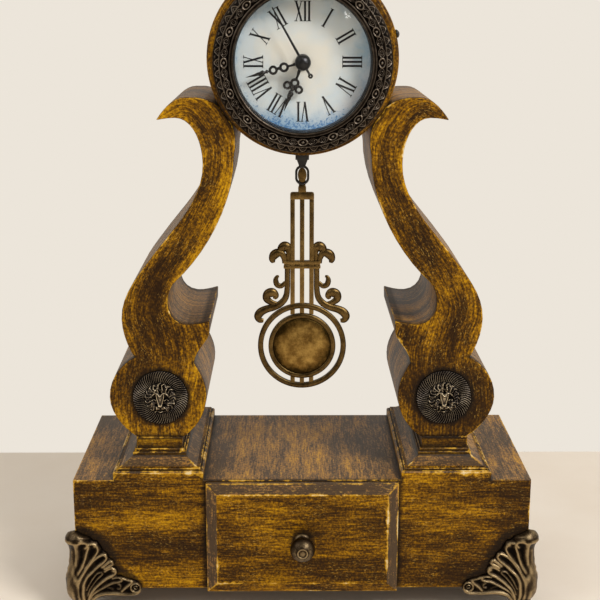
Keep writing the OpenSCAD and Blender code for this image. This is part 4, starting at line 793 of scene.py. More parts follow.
def strand_tree():
    """Sweeps a round section along polylines, as thick as their points' "thick" attribute says."""
    tree, given = growth("cast_strand", "Strands", Lines="Geometry", Sides="Int", Finish="Material")
    thick = put(tree, "GeometryNodeInputNamedAttribute", {"Name": "thick"}, data_type="FLOAT")
    lines = put(tree, "GeometryNodeMeshToCurve", {"Mesh": given["Lines"]})
    round_section = put(tree, "GeometryNodeCurvePrimitiveCircle",
                        {"Resolution": given["Sides"], "Radius": 1.0})
    sweep = put(tree, "GeometryNodeCurveToMesh",
                {"Curve": lines, "Profile Curve": round_section, "Scale": thick, "Fill Caps": True})
    real = put(tree, "GeometryNodeRealizeInstances", {0: sweep})
    finish = put(tree, "GeometryNodeSetMaterial", {"Geometry": real, "Material": given["Finish"]})
    put(tree, "NodeGroupOutput", {"Strands": finish})
    return tree


def grown(name, start, tree, **values):
    """The plain mesh that a geometry tree makes from an object, with the tree's inputs set by name."""
    grow = start.modifiers.new("grow", "NODES")
    grow.node_group = tree
    for item in tree.interface.items_tree:
        if item.in_out == "INPUT" and item.name in values:
            grow[item.identifier] = values[item.name]
    whole = start.evaluated_get(bpy.context.evaluated_depsgraph_get())
    mesh = bpy.data.meshes.new_from_object(whole)
    mesh.name = name
    start.modifiers.clear()
    bpy.data.objects.remove(start)
    outward(mesh)
    smooth(mesh, 50)
    return add_object(name, mesh)


def strands(name, paths, material, y, flat=1.0, sides=14):
    """Tapered rounded strands along (x, z, radius) points, pressed flat about the depth y."""
    points, edges, thick = [], [], []
    for path in paths:
        line = smooth_path(path, 7)
        first = len(points)
        points += [(p[0] * MM, 0, p[1] * MM) for p in line]
        thick += [max(p[2], 0.05) * MM for p in line]
        edges += [(first + i, first + i + 1) for i in range(len(line) - 1)]
    mesh = bpy.data.meshes.new(name + "_lines")
    mesh.from_pydata(points, edges, [])
    mesh.attributes.new("thick", "FLOAT", "POINT").data.foreach_set("value", thick)
    obj = grown(name, add_object(name + "_lines", mesh), STRANDS, Sides=sides, Finish=material)
    for v in obj.data.vertices:
        v.co.y = v.co.y * flat + y * MM
    return obj


RING = ring_tree()
STRANDS = strand_tree()


def peak(d, width):
    """A rounded ridge, by distance from its line."""
    return np.exp(-(d / width) ** 2)


def button(d, r):
    """A round button of radius r, by distance from its middle."""
    return np.sqrt(np.clip(1 - (d / r) ** 2, 0, 1))


def line_distance(x, z, points):
    """Distance of grid points to a polyline of (x, z) points."""
    flat = np.stack([x.ravel(), z.ravel()], 1)
    p = np.array(points, float)
    return segment_distance(flat, p[:-1], p[1:], 20000)[0].reshape(x.shape)


def bezel_pattern(turn, r):
    """Height of the embossing, 0 to 1, by angle in a 22.5 degree tile and radius.

    Each tile has an oval with a bead, a ring between crossing ties, and three arched leaves outside.
    """
    s, out = turn * r, r - (BEZEL_R - 7.2)
    aside = abs(s) - 6.1
    oval = np.sqrt((s / 2.75) ** 2 + (out / 1.85) ** 2)
    marks = [peak(oval - 1, 0.2) * 0.95, button(np.hypot(s / 1.25, out), 0.85),
             peak(np.hypot(aside, out * 1.1) - 1.25, 0.32) * 0.8]
    for sign in (-1, 1):
        tie = out - sign * 1.9 * np.cos(aside * math.pi / 3.3 / 2)
        cross = out - sign * (aside + 3.2 * np.sign(-aside)) * 0.75
        marks += [peak(tie, 0.3) * 0.75 * (abs(s) > 2.9), peak(cross, 0.3) * 0.6 * (abs(s) > 3.2)]
    marks += [button(np.hypot(aside, out), 0.5) * 0.55, button(np.hypot(abs(s) - 9.4, out * 0.6), 0.9) * 0.7]
    for place, wide, tall in ((-2.75, 0.35, 0.7), (2.95, 0.4, 0.85), (6.6, 0.45, 0.75)):
        marks.append(peak(out - place, wide) * tall)
    third = math.radians(7.5)
    leaf = ((turn / third + 0.5) % 1 - 0.5) * third * r
    arch = np.hypot(leaf, (out - 3.2) * 0.95 + abs(leaf) * 0.35)
    marks += [peak(arch - 2.5, 0.38) * 0.95 * (out > 3.0), peak(arch - 1.35, 0.33) * 0.7 * (out > 3.0),
              button(np.hypot(abs(leaf) - 3.2, out - 5.7), 0.6) * 0.7]
    return np.maximum.reduce(marks)


def bezel_pieces():
    """The bezel: a turned body with a plain lip, and its embossed band of sixteen equal tiles."""
    band_r = BEZEL_R - 10
    sight_r = band_r - 3.2
    band = curve_points([(band_r + 0.4, BEZEL_Y + 1.2), (band_r + 3, BEZEL_Y - 0.4),
                         (BEZEL_R - 2.4, BEZEL_Y + 1.4), (BEZEL_R - 0.8, DRUM_Y - 3)], 44)
    seat = BEZEL_Y + 3.45
    dial_y = DRUM_Y + 7
    lip = [(sight_r, seat), (sight_r, BEZEL_Y + 1.6), (sight_r + 0.15, BEZEL_Y + 0.8),
           (sight_r + 0.5, BEZEL_Y + 0.25), (sight_r + 1.0, BEZEL_Y), (sight_r + 1.5, BEZEL_Y + 0.12),
           (band_r - 1.0, BEZEL_Y + 0.12), (band_r - 0.55, BEZEL_Y), (band_r - 0.2, BEZEL_Y + 0.3),
           (band_r, BEZEL_Y + 1.9)]
    low = [(r, y + 1.0) for r, y in band[4:-3:4]]
    back = [(BEZEL_R - 0.9, DRUM_Y - 2.6), (BEZEL_R - 0.2, DRUM_Y - 2.2), (BEZEL_R, DRUM_Y - 1.5),
            (BEZEL_R, DRUM_Y), (BEZEL_R - 7.9, DRUM_Y), (BEZEL_R - 7.9, dial_y), (sight_r + 1.8, dial_y),
            (sight_r + 1.8, seat)]
    points, faces = turned(lip + low + back, (0, HANDS_Z), 144)
    body = rub(make("bezel_body", points, faces, BEZEL_BRONZE, 30), 0.8, 0.22, 0.12)
    tiles, columns = 16, 72
    proud, sunk = 0.85, 0.35
    turn = np.linspace(-math.pi / tiles, math.pi / tiles, columns + 1)
    ahead = np.gradient(band, axis=0)
    normal = np.stack([ahead[:, 1], -ahead[:, 0]], 1)
    normal /= np.linalg.norm(normal, axis=1)[:, None]
    rows, relief_and_highlight = [], []
    for k, ((r, y), (nr, ny)) in enumerate(zip(band, normal)):
        high = bezel_pattern(turn, np.full_like(turn, r))
        edge = min(k, len(band) - 1 - k)
        high = high * min(edge / 2, 1) - (0.9 if edge == 0 else 0)
        rr, yy = r + nr * (high * proud - sunk), y + ny * (high * proud - sunk)
        rows.append(np.stack([rr * np.cos(turn), yy, rr * np.sin(turn)], 1))
        relief_and_highlight.append(np.clip(high, 0, 1))
    for r, y in ((BEZEL_R - 1.6, DRUM_Y - 1.2), (band_r + 0.6, BEZEL_Y + 3.6)):
        rows.append(np.stack([r * np.cos(turn), np.full_like(turn, y), r * np.sin(turn)], 1))
        relief_and_highlight.append(np.zeros_like(turn))
    mesh = bpy.data.meshes.new("bezel_tile")
    mesh.from_pydata((np.concatenate(rows) * MM).tolist(), [], grid_faces(len(rows), columns + 1, True))
    set_relief_and_highlight(mesh, np.concatenate(relief_and_highlight))
    tile = add_object("bezel_tile", mesh)
    return body, grown("bezel_embossing", tile, RING, Copies=tiles, Centre=(0, 0, HANDS_Z * MM), Weld=2e-6,
                       Finish=BEZEL_BRONZE)


def lion_height(x, z):
    """A lion's mask, in millimetres over the disc: its head, and the face and mane that stand out from it.

    lump is a soft boss, and ridge follows a line. Both are cut in where they are taken away.
    """
    def lump(cx, cz, wx, wz, high, lean=0.0):
        c, s = math.cos(math.radians(lean)), math.sin(math.radians(lean))
        a, b = (x - cx) * c + (z - cz) * s, -(x - cx) * s + (z - cz) * c
        return high * np.exp(-(a / wx) ** 2 - (b / wz) ** 2)

    def ridge(points, width, high):
        return high * peak(line_distance(x, z, smooth_path(points, 5)), width)

    head = 3.2 * np.sqrt(np.clip(1 - (x / 10.4) ** 2 - ((z + 0.2) / 10.8) ** 2, 0, 1))
    bridge = lump(0, 0.8, 1.7, 3.6, 1.1)
    nose = lump(0, -4.5, 1.4, 0.9, 1.5)
    chin = lump(0, -8.7, 1.0, 0.7, 1.2)
    muzzle = lump(0, -6.2, 3.4, 1.8, 0.8)
    lip = ridge([(0, -5.6), (0, -7.0)], 0.3, 0.9)
    mouth = ridge([(-3.0, -7.4), (0, -7.9), (3.0, -7.4)], 0.4, 1.3)
    brow_fold = ridge([(0, 3.4), (0, 7.6)], 0.4, 0.9)
    detail = bridge + nose + chin + muzzle - lip - mouth - brow_fold
    for k, lean in enumerate(np.arange(-66, 247, 13.0)):
        start, end, high = ((5.6, 10.3, 1.25), (6.9, 9.1, 0.8), (6.2, 9.8, 1.0))[k % 3]
        lock = [(start, 0), (start + 1.3, 5), (end - 1.2, 4), (end, -5)]
        turned_lock = [(r * math.cos(math.radians(lean + q)), r * math.sin(math.radians(lean + q)))
                       for r, q in lock]
        detail = detail + ridge(turned_lock, 0.5, high)
    for side in (-1, 1):
        for line, width, high in (([(0.5, 1.9), (1.6, 3.3), (3.2, 3.5), (4.7, 2.2)], 0.6, 1.3),
                                  ([(2.3, 2.6), (2.0, 0.2), (1.3, -2.2), (0.8, -4.2)], 0.45, 1.1),
                                  ([(2.7, -1.0), (3.9, -0.4), (5.0, -1.0)], 0.4, 1.4),
                                  ([(4.6, -2.4), (4.9, -4.8), (4.1, -7.0)], 0.6, 0.5),
                                  ([(1.1, 4.6), (1.6, 6.2), (1.2, 8.4)], 0.5, 1.2),
                                  ([(3.0, 4.8), (3.9, 6.4), (3.4, 8.2)], 0.5, 1.1)):
            detail = detail + ridge([(side * a, b) for a, b in line], width, high)
        cheek = lump(side * 4.3, -3.4, 1.5, 1.5, 0.8)
        temple = lump(side * 1.7, 5.4, 1.1, 1.6, 0.7)
        socket = lump(side * 3.6, -0.2, 1.2, 1.0, 0.8, side * -25)
        jowl = lump(side * 1.7, -6.2, 1.1, 0.9, 0.8)
        detail = detail + cheek + temple + jowl - socket - lump(side * 2.5, -4.0, 0.7, 0.8, 1.0)
    return head, detail


def medallion(side):
    """A round cast boss: a disc of curved rays around a lion's mask."""
    low, high = span("medallion_" + side)
    x0, z0, r_out = (low.x + high.x) / 2, (low.z + high.z) / 2, (high.x - low.x) / 2
    seat = LYRE_Y
    depth = seat - low.y
    mask_r, mask_scale, ray_count, band_w = 10.7, 1.08, 64, 9.2
    radii = np.concatenate([[0.0], np.linspace(0.22, mask_r, 56), np.linspace(11.0, r_out - 0.5, 18),
                            [r_out - 0.15, r_out]])
    turn = np.linspace(0, 2 * math.pi, 576, endpoint=False)
    r, a = np.meshgrid(radii, turn, indexing="ij")
    x, z = r * np.cos(a), r * np.sin(a)
    share = (r - 9) / band_w
    rays = 0.5 + 0.5 * np.cos(ray_count * (a + 0.2 * share ** 2))
    fade = np.clip((r - 10.0) / 0.9, 0, 1) * np.clip((r_out - r) / 0.5, 0, 1)
    disc = 1.0 + 0.25 * np.cos(share * 1.5) + 0.8 * (rays ** 0.8) * fade
    head, detail = lion_height(x / mask_scale, z / mask_scale)
    inside = np.clip((mask_r - r) / 0.7, 0, 1)
    tall = 0.55 + head + detail
    tall = tall * (depth - 0.05) / tall.max()
    h = disc * (1 - inside) + np.maximum(tall, 0.5) * inside
    h = np.where(r > r_out - 0.05, 0.9, h)
    near = np.gradient(np.gradient(h, axis=0), axis=0)
    sharp = -(np.roll(h, 1, 1) + np.roll(h, -1, 1) - 2 * h) * 3.5 - near * 3.0
    face = np.exp(-(x / 3.6) ** 2 - ((z + 0.8) / 5.6) ** 2)
    level = 0.22 + 0.12 * face + (sharp * 1.1 + detail * 0.3) * (0.62 + 0.5 * face)
    level = np.where(inside > 0.5, level, 0.06 + 0.58 * rays ** 1.3 * fade)
    points = [np.stack([x0 + x, seat - h, z0 + z], 2).reshape(-1, 3)]
    edge = [np.stack([x0 + r * np.cos(turn), np.full_like(turn, seat), z0 + r * np.sin(turn)], 1)
            for r in (r_out, 0.0)]
    relief_and_highlight = np.concatenate([np.clip(level, 0, 1).ravel(), np.zeros(2 * len(turn))])
    faces = grid_faces(len(radii) + 2, len(turn), False, True)
    return make("lion_medallion_" + side, np.concatenate(points + edge), faces, PEWTER, 60, relief_and_highlight)


# The foot's leaves as ridges: their lines of distance from the corner and height, their width and height
FOOT_RIDGES = [
    ([(-5.9, 51.2), (-3.8, 52.6), (-0.6, 52.4), (0.9, 49.4), (1.3, 43.5), (0.6, 38.5), (-1.0, 34.0),
      (-3.0, 29.5), (-4.1, 24.5), (-4.0, 18.5), (-2.6, 13.0)], 0.75, 1.25),
    ([(1.2, 49.0), (2.2, 51.9), (4.6, 53.0), (7.6, 52.0), (8.8, 48.8), (7.4, 44.5), (6.2, 40.0), (4.0, 35.0),
      (1.4, 31.0), (-0.8, 27.0), (-1.9, 22.0), (-2.0, 16.2), (-1.0, 11.2)], 0.75, 1.25),
    ([(7.0, 48.5), (8.9, 50.6), (11.8, 51.0), (14.3, 49.0), (14.6, 45.6), (11.8, 41.0), (9.0, 37.4),
      (6.5, 33.5), (4.3, 29.7), (2.2, 25.4), (1.3, 20.8), (1.3, 16.2), (2.2, 11.6)], 0.75, 1.3),
    ([(2.0, 27.0), (4.7, 30.5), (7.2, 33.9), (10.4, 37.8), (13.2, 40.5), (16.1, 42.4), (18.9, 43.2),
      (20.4, 41.0), (18.2, 37.8), (15.4, 35.5), (12.5, 32.8), (9.7, 30.0), (7.2, 27.8), (5.4, 23.9),
      (5.0, 20.0), (4.7, 14.3), (5.1, 10.8)], 0.75, 1.35),
    ([(17.5, 34.5), (20.2, 36.6), (23.2, 38.5), (24.6, 36.6), (22.0, 34.8), (19.0, 33.3)], 0.95, 1.3),
    ([(6.8, 18.9), (8.6, 22.6), (11.2, 26.6), (14.0, 29.8), (16.8, 30.3), (17.2, 29.0), (14.3, 26.2),
      (11.1, 22.3), (8.6, 18.5), (7.4, 14.6)], 0.5, 0.95),
    ([(19.0, 31.4), (22.4, 33.4), (25.3, 32.8), (26.2, 30.4), (24.2, 28.2), (20.5, 26.2), (16.8, 23.5),
      (12.9, 20.0), (9.8, 16.4), (8.3, 12.8), (7.6, 9.6)], 0.8, 1.3),
    ([(23.9, 26.2), (27.8, 26.5), (30.5, 25.4), (28.5, 23.4), (24.6, 22.8), (20.7, 21.0), (17.1, 19.0),
      (13.6, 17.0), (10.4, 14.6), (8.9, 12.0)], 0.65, 1.1),
    ([(30.5, 26.0), (33.4, 25.0), (36.6, 23.8), (34.9, 21.4), (32.0, 18.9), (29.8, 16.6)], 0.7, 1.2),
    ([(27.4, 21.8), (29.0, 20.6), (28.6, 18.6), (27.0, 18.4)], 0.5, 0.9),
    ([(19.6, 19.6), (21.8, 19.0), (23.6, 18.0)], 0.5, 0.7),
    ([(42.4, 17.0), (40.2, 14.8), (34.9, 14.0), (29.6, 14.3), (24.2, 14.9), (18.9, 14.9), (14.6, 13.9),
      (11.4, 12.0), (9.7, 9.2)],
     1.05, 1.2)]
# The outline of the foot's leaves on one face of the base, from the corner
FOOT_EDGE = [(-60, 60.2), (0, 59.9), (4.0, 57.6), (9.7, 55.4), (11.8, 53.2), (14.6, 52.6), (17.2, 48.2),
             (18.2, 45.9), (21.0, 43.6), (22.2, 40.6), (24.7, 38.6), (25.6, 36.2), (24.4, 34.6), (26.6, 33.2),
             (27.6, 30.0), (26.4, 27.9), (29.6, 27.7), (32.6, 25.9), (36.6, 25.1), (40.2, 23.6), (42.6, 20.6),
             (43.0, 17.6), (41.2, 14.6), (38.0, 13.5), (29.6, 13.2), (19.0, 12.6), (13.4, 11.2), (10.4, 8.6),
             (-60, 8.6)]
# Round ends of the leaves: distance from the corner, height and radius
FOOT_LOBES = [(-3.4, 53.4, 1.8), (4.6, 53.6, 1.9), (13.2, 49.6, 2.0), (19.6, 42.8, 1.7), (23.2, 38.2, 1.7),
              (24.9, 31.6, 1.8), (30.0, 25.6, 1.5), (36.6, 23.4, 1.5)]
# Past this far out the corner is drawn in, so that it stays inside the solid foot's reach
FOOT_KNEE = 4.5


def foot_out(z):
    """How far the foot stands out at its corner, by height."""
    heights = [8, 9.5, 10.8, 13, 15.4, 19.3, 24.7, 28, 32.4, 36, 40.9, 46.3, 48.5, 51, 53.2, 55.0, 57.4, 60.3]
    distances = [0.4, 1.0, 3.0, 5.0, 6.7, 7.9, 7.9, 6.9, 5.2, 3.6, 2.5, 2.3, 3.0, 4.9, 7.0, 7.0, 4.2, 0.4]
    return np.interp(z, heights, distances)


def foot_place(w, out):
    """The point at a place along the foot's flat pattern, as far out as given, with the corner at 0."""
    curl = 2.2
    arc = curl * math.pi / 4
    angle = np.clip(w / arc, -1, 1) * math.pi / 4
    run = curl + np.maximum(abs(w) - arc, 0)
    x = np.where(w > arc, run, np.where(w < -arc, -out, curl - (curl + out) * np.sin(math.pi / 4 - angle)))
    y = np.where(w > arc, -out, np.where(w < -arc, run, curl - (curl + out) * np.cos(math.pi / 4 - angle)))
    return x, y


def foot_grid(w, z):
    """The foot's outer surface by place round the corner and height.

    Gives each point's two distances from the corner, its distance along its face, and how far it stands up.
    """
    base = 1.0 + 0.5 * np.exp(-(w / 26) ** 2) + foot_out(z) * np.exp(-(w / 6.5) ** 2)
    x, y = foot_place(w, base)
    u = np.where(w > 0, x, y)
    marks = [np.zeros_like(u)]
    for points, width, tall in FOOT_RIDGES:
        d = line_distance(u, z, smooth_path(points, 4))
        marks.append((0.62 * peak(d, width * 1.15) + 0.5 * peak(d, width * 2.4)) * tall)
    for at, top, r in FOOT_LOBES:
        marks.append(1.35 * peak(np.hypot(u - at, z - top), r))
    spiral = np.hypot(u - 39.0, z - 19.1)
    bend = np.arctan2(z - 19.1, u - 39.0)
    shelf = np.clip((z - 53.5) / 2.5, 0, 1) * np.clip((11.0 - u) / 3, 0, 1)
    corner_rib = peak(w, 0.8) * np.clip((52 - z) / 6, 0, 1)
    # A ridge along the cap's lower edge; its bright crest also paints a highlight there.
    cap_rim_ridge_and_highlight = peak(z - 52.4, 0.8) * np.clip((7.5 - abs(w)) / 2, 0, 1)
    marks += [peak(spiral - 3.2, 0.8) * 1.35, peak(spiral - 1.15 - 0.25 * bend / math.pi, 0.55) * 1.1,
              0.6 * shelf, 0.95 * corner_rib, 1.1 * cap_rim_ridge_and_highlight]
    high = np.maximum.reduce(marks)
    out = base + high * np.where(abs(w) < 5, 0.9, 1.3)
    x, y = foot_place(w, np.where(out > FOOT_KNEE, FOOT_KNEE + (out - FOOT_KNEE) * 0.63, out))
    return x, y, u, high


def foot(node, x_sign, y_sign):
    """A cast corner foot: ribbed leaves that fan out over both faces, and a turned toe.

    It is made at one corner, and the signs turn it over to the others.
    """
    mesh_step = 0.48
    wide = np.arange(-44.4, 44.5, mesh_step)
    tall = np.arange(8.2, 60.6, mesh_step)
    w, z = np.meshgrid(wide, tall, indexing="ij")
    x, y, u, high = foot_grid(w, z)
    edge = np.array(FOOT_EDGE + FOOT_EDGE[:1], float)
    inside = np.zeros(u.shape, bool)
    for a, b in zip(edge[:-1], edge[1:]):
        with np.errstate(divide="ignore", invalid="ignore"):
            cross = (a[1] > z) != (b[1] > z)
            inside ^= cross & (u < (b[0] - a[0]) * (z - a[1]) / (b[1] - a[1]) + a[0])
    d, which, share = segment_distance(np.stack([u.ravel(), z.ravel()], 1), edge[:-1], edge[1:])
    nearest = (edge[:-1][which] + share[:, None] * (edge[1:] - edge[:-1])[which]).reshape(u.shape + (2,))
    d = d.reshape(u.shape)
    lip = np.where(inside, np.clip(d / 0.9, 0, 1), 0)
    shift = np.where(inside, 0, nearest[..., 0] - u)
    z = np.where(inside, z, nearest[..., 1])
    flat = abs(w) > 4
    x = np.where(~inside & (w > 0) & flat, x + shift, x)
    y = np.where(~inside & (w < 0) & flat, y + shift, y)
    round_off = np.sqrt(np.clip(1 - (1 - lip) ** 2, 0, 1))
    face_x, face_y = np.where(w < 0, 0.0, x), np.where(w > 0, 0.0, y)
    face_x, face_y = np.maximum(face_x, 0.0), np.maximum(face_y, 0.0)
    keep = 0.35 + 0.65 * round_off
    x, y = face_x + (x - face_x) * keep, face_y + (y - face_y) * keep
    n = len(tall)
    cells = inside[:-1, :-1] | inside[1:, :-1] | inside[:-1, 1:] | inside[1:, 1:]
    count = w.size
    faces, side = [], {}
    for i, j in zip(*np.nonzero(cells)):
        a, b, c, e = i * n + j, (i + 1) * n + j, (i + 1) * n + j + 1, i * n + j + 1
        faces += [(a, b, c, e), (count + e, count + c, count + b, count + a)]
        for p, q in ((a, b), (b, c), (c, e), (e, a)):
            if (q, p) in side:
                del side[(q, p)]
            else:
                side[(p, q)] = True
    faces += [(q, p, count + p, count + q) for p, q in side]
    front = np.stack([x, y, z], 2).reshape(-1, 3)
    behind = np.stack([face_x, face_y, z], 2).reshape(-1, 3)
    points = np.concatenate([front, behind])
    # Lightens the top of the leaf's cap as painted light from above.
    cap = np.clip((z - 52.6) / 1.5, 0, 1) * np.clip((12 - u) / 3, 0, 1)
    level = np.clip(high / 1.3 * (0.85 + 0.12 * np.exp(-(w / 6) ** 2)) + 0.02 + 0.1 * cap, 0, 1).ravel()
    relief_and_highlight = np.concatenate([level, np.zeros(count)])
    toe = [(0.0, 0.0), (8.6, 0.0), (9.1, 0.5), (9.2, 1.4), (8.8, 2.4), (8.0, 3.4), (7.3, 4.6), (6.7, 6.2),
           (6.5, 8.2), (6.8, 10.5), (7.6, 13.0), (8.6, 15.4), (9.0, 17.95), (0.0, 17.95)]
    toe_points, toe_faces = turned(toe, (0, 0), 40)
    toe_points = np.array([(px + 2.6, pz + 2.6, py) for px, py, pz in toe_points])
    faces += [tuple(k + 2 * count for k in f) for f in toe_faces]
    points = np.concatenate([points, toe_points])
    relief_and_highlight = np.concatenate([relief_and_highlight, np.full(len(toe_points), 0.35)])
    used = np.unique(np.concatenate([np.array(f) for f in faces]))
    number = np.full(len(points), -1)
    number[used] = np.arange(len(used))
    faces = [tuple(number[k] for k in f) for f in faces]
    points, relief_and_highlight = points[used], relief_and_highlight[used]
    middle_y = (FRONT + BACK) / 2
    points = np.stack([x_sign * (points[:, 0] - HALF_W),
                       middle_y + y_sign * (points[:, 1] - (BACK - FRONT) / 2), points[:, 2]], 1)
    return make("leaf_" + node, points, faces, BRONZE, 60, relief_and_highlight)


def numeral(text, angle):
    """A serif Roman numeral in points and faces, standing on the dial with its foot towards the middle."""
    tall, thick, thin, serif = 12.2, 1.25, 0.55, 0.45
    widths = {"I": 2.5, "V": 5.4, "X": 5.2}
    glyphs = {"I": [((0, 0), (0, 1), thick, 2.4)],
              "V": [((-1.75, 1), (0, 0), thick, 2.3), ((1.75, 1), (0, 0), thin, 1.9)],
              "X": [((-1.7, 1), (1.7, 0), thick, 2.3), ((1.7, 1), (-1.7, 0), thin, 2.0)]}
    left = -sum(widths[c] for c in text) / 2
    points, faces = [], []
    c, s = math.cos(angle), math.sin(angle)
    front, back = DRUM_Y + 6.9, DRUM_Y + 7.02
    bars = []
    for letter in text:
        middle = left + widths[letter] / 2
        left += widths[letter]
        for (x0, t0), (x1, t1), width, foot in glyphs[letter]:
            x0, x1 = x0 + middle, x1 + middle
            z0, z1 = (t0 - 0.5) * tall, (t1 - 0.5) * tall
            half = width / 2
            bars.append([(x0 - half, z0), (x0 + half, z0), (x1 + half, z1), (x1 - half, z1)])
            for x, z in ((x0, z0), (x1, z1)):
                if letter == "V" and z < 0:
                    continue
                low = z - serif if z > 0 else z
                bars.append([(x - foot / 2, low), (x + foot / 2, low), (x + foot / 2, low + serif),
                             (x - foot / 2, low + serif)])
    for number, bar in enumerate(bars):
        start = len(points)
        lift = 0.004 * (number % 5)
        for y in (front - lift, back):
            for x, z in bar:
                r = NUMERAL_R + z
                points.append((x * c + r * s, y, HANDS_Z - x * s + r * c))
        faces += [tuple(start + k for k in f) for f in
                  ((0, 1, 2, 3), (7, 6, 5, 4), (0, 4, 5, 1), (1, 5, 6, 2), (2, 6, 7, 3), (3, 7, 4, 0))]
    return points, faces


def numerals():
    """All twelve numerals as one thin print."""
    points, faces = [], []
    for hour, text in enumerate("XII I II III IV V VI VII VIII IX X XI".split()):
        more, sides = numeral(text, hour * math.pi / 6)
        faces += [tuple(len(points) + k for k in f) for f in sides]
        points += more
    return make("dial_numerals", points, faces, INK, 20)


def glass_dome():
    """The domed glass, 2 mm thick."""
    seat, rise, r_out = BEZEL_Y + 3.5, 9.0, BEZEL_R - 13.2
    ball = (r_out ** 2 + rise ** 2) / (2 * rise)
    steps = np.linspace(0, r_out, 26)
    outer = [(r, seat - rise + ball - math.sqrt(ball ** 2 - r * r)) for r in steps]
    inner = [(r, seat - rise + ball - math.sqrt((ball - 2) ** 2 - r * r)) for r in steps[::-1]]
    points, faces = turned(outer + inner, (0, HANDS_Z), 96)
    return make("domed_glass", points, faces, GLASS, 60)


# How much thicker the hands' strands are cast than they are drawn below
HAND_WEIGHT = 1.3


def along(degrees, points):
    """Points (distance out, distance aside, radius) turned to a hand's clock angle, as (x, z, radius)."""
    s, c = math.sin(math.radians(degrees)), math.cos(math.radians(degrees))
    return [(r * s + q * c, HANDS_Z + r * c - q * s, w * HAND_WEIGHT) for r, q, w in points]


def loop(out, aside, r, width=0.62, steps=14):
    """A closed ring of (distance out, distance aside, radius) points."""
    turn = np.linspace(0, 2 * math.pi, steps + 1)
    return [(out + r * math.cos(t), aside + r * math.sin(t), width) for t in turn]


def hand(name, degrees, lines, y, hub, material, cap=None):
    """A cast clock hand: rounded strands pressed flat, with a hub and sometimes a cap ball."""
    blade = strands(name, [along(degrees, line) for line in lines], material, y, 0.55, 10)
    half, bore = 0.42, 1.2
    profile = [(bore, y - half), (hub - 0.2, y - half), (hub, y - 0.25), (hub, y + 0.25),
               (hub - 0.2, y + half), (bore, y + half)]
    parts = [blade, make(name + "_hub", *turned(profile, (0, HANDS_Z), 32), material, 40)]
    if cap:
        middle = y - 2.6
        ball = [(cap * math.cos(t), middle - cap * 0.92 * math.sin(t))
                for t in np.linspace(-math.pi / 2, math.pi / 2, 18)]
        shape = turned([(0.0, middle)] + ball, (0, HANDS_Z), 48)
        parts.append(make(name + "_cap", *shape, BROWN_BLACK, 60))
    return merged(name, parts)


def hands():
    """The three hands, at the photograph's time: their blades' strands, in millimetres from the middle."""
    barbs = [(21.6, 0, 0.35), (22.6, 0.1, 0.95), (23.7, -0.1, 0.55), (25.2, 0.1, 1.2), (27.0, -0.1, 1.0),
             (28.6, 0.1, 0.8), (30.4, -0.05, 0.6), (33, 0, 0.36), (36.0, 0, 0.1)]
    minute = [[(2, 0, 0.7), (5, 0.1, 0.75), (7, -0.1, 0.55), (9.2, 0, 0.6)],
              loop(11.9, 0, 2.2, 0.66),
              [(14.1, 0, 0.65), (15.3, 0.2, 0.75), (16.5, 0, 0.6)],
              loop(18.7, 0, 2.05, 0.64),
              [(20.6, 0, 0.6), (21.6, 0, 0.4)],
              barbs]
    hour = [[(2, 0, 0.75), (6, 0.1, 0.8), (9, -0.1, 0.6), (11.2, 0, 0.7)],
            loop(13.5, 0, 2.1, 0.68),
            loop(16.4, -3.8, 1.9, 0.66),
            loop(16.4, 3.8, 1.9, 0.66),
            [(15.4, 0, 0.6), (17.4, 0, 0.95), (18.6, 0, 0.7)],
            [(16.4, -2.0, 0.45), (17.4, 0, 0.6), (16.4, 2.0, 0.45)],
            [(18.2, 0, 0.4), (19.4, 0.15, 1.15), (20.8, -0.1, 1.35), (22.2, 0.15, 1.15), (23.8, -0.1, 0.95),
             (26, 0.1, 0.7), (28.6, 0, 0.42), (31.8, 0, 0.1)]]
    second = [[(-8.2, 0, 0.55), (0, 0, 0.66), (12, 0, 0.6), (28, 0, 0.46), (37.6, 0, 0.3)],
              loop(-9.4, 0, 0.95, 0.5, 10)]
    for node, name, body, degrees, lines, y, hub, cap in (
            ("minute_hand", "minute_hand_cast", "minutes", 255.3, minute, DRUM_Y + 1.3, 2.9, None),
            ("hour_hand", "hour_hand_cast", "hours", 201.3, hour, DRUM_Y + 3.1, 3.2, None),
            ("second_hand", "second_hand_and_cap", "seconds", 330.4, second, DRUM_Y - 0.5, 1.9, 4.9)):
        settle(hand(name, degrees, lines, y, hub, BLACK, cap), body, "black_metal", node)


def eased(node, name, material, width=0.3, least=35):
    """A CAD piece with its sharp edges rounded."""
    obj = copy_of(node, name)
    bm = bmesh.new()
    bm.from_mesh(obj.data)
    bmesh.ops.dissolve_limit(bm, angle_limit=math.radians(0.6), verts=bm.verts, edges=bm.edges)
    round_edges(bm, width * MM, least)
    bmesh.ops.triangulate(bm, faces=bm.faces)
    bm.to_mesh(obj.data)
    bm.free()
    obj.data.materials.clear()
    obj.data.materials.append(material)
    smooth(obj.data, 30)
    return obj


def band_ring(r_in, r_out, front, back, at):
    """A turned ring with a rounded front."""
    half, middle = (r_out - r_in) / 2, (r_in + r_out) / 2
    arc = [(middle - half * math.cos(t), front + 0.9 - 0.9 * math.sin(t))
           for t in np.linspace(0, math.pi, 9)]
    rear = [(r_out, back - 0.3), (r_out - 0.3, back), (r_in + 0.3, back), (r_in, back - 0.3)]
    return turned(arc + rear, (0, at), 96)


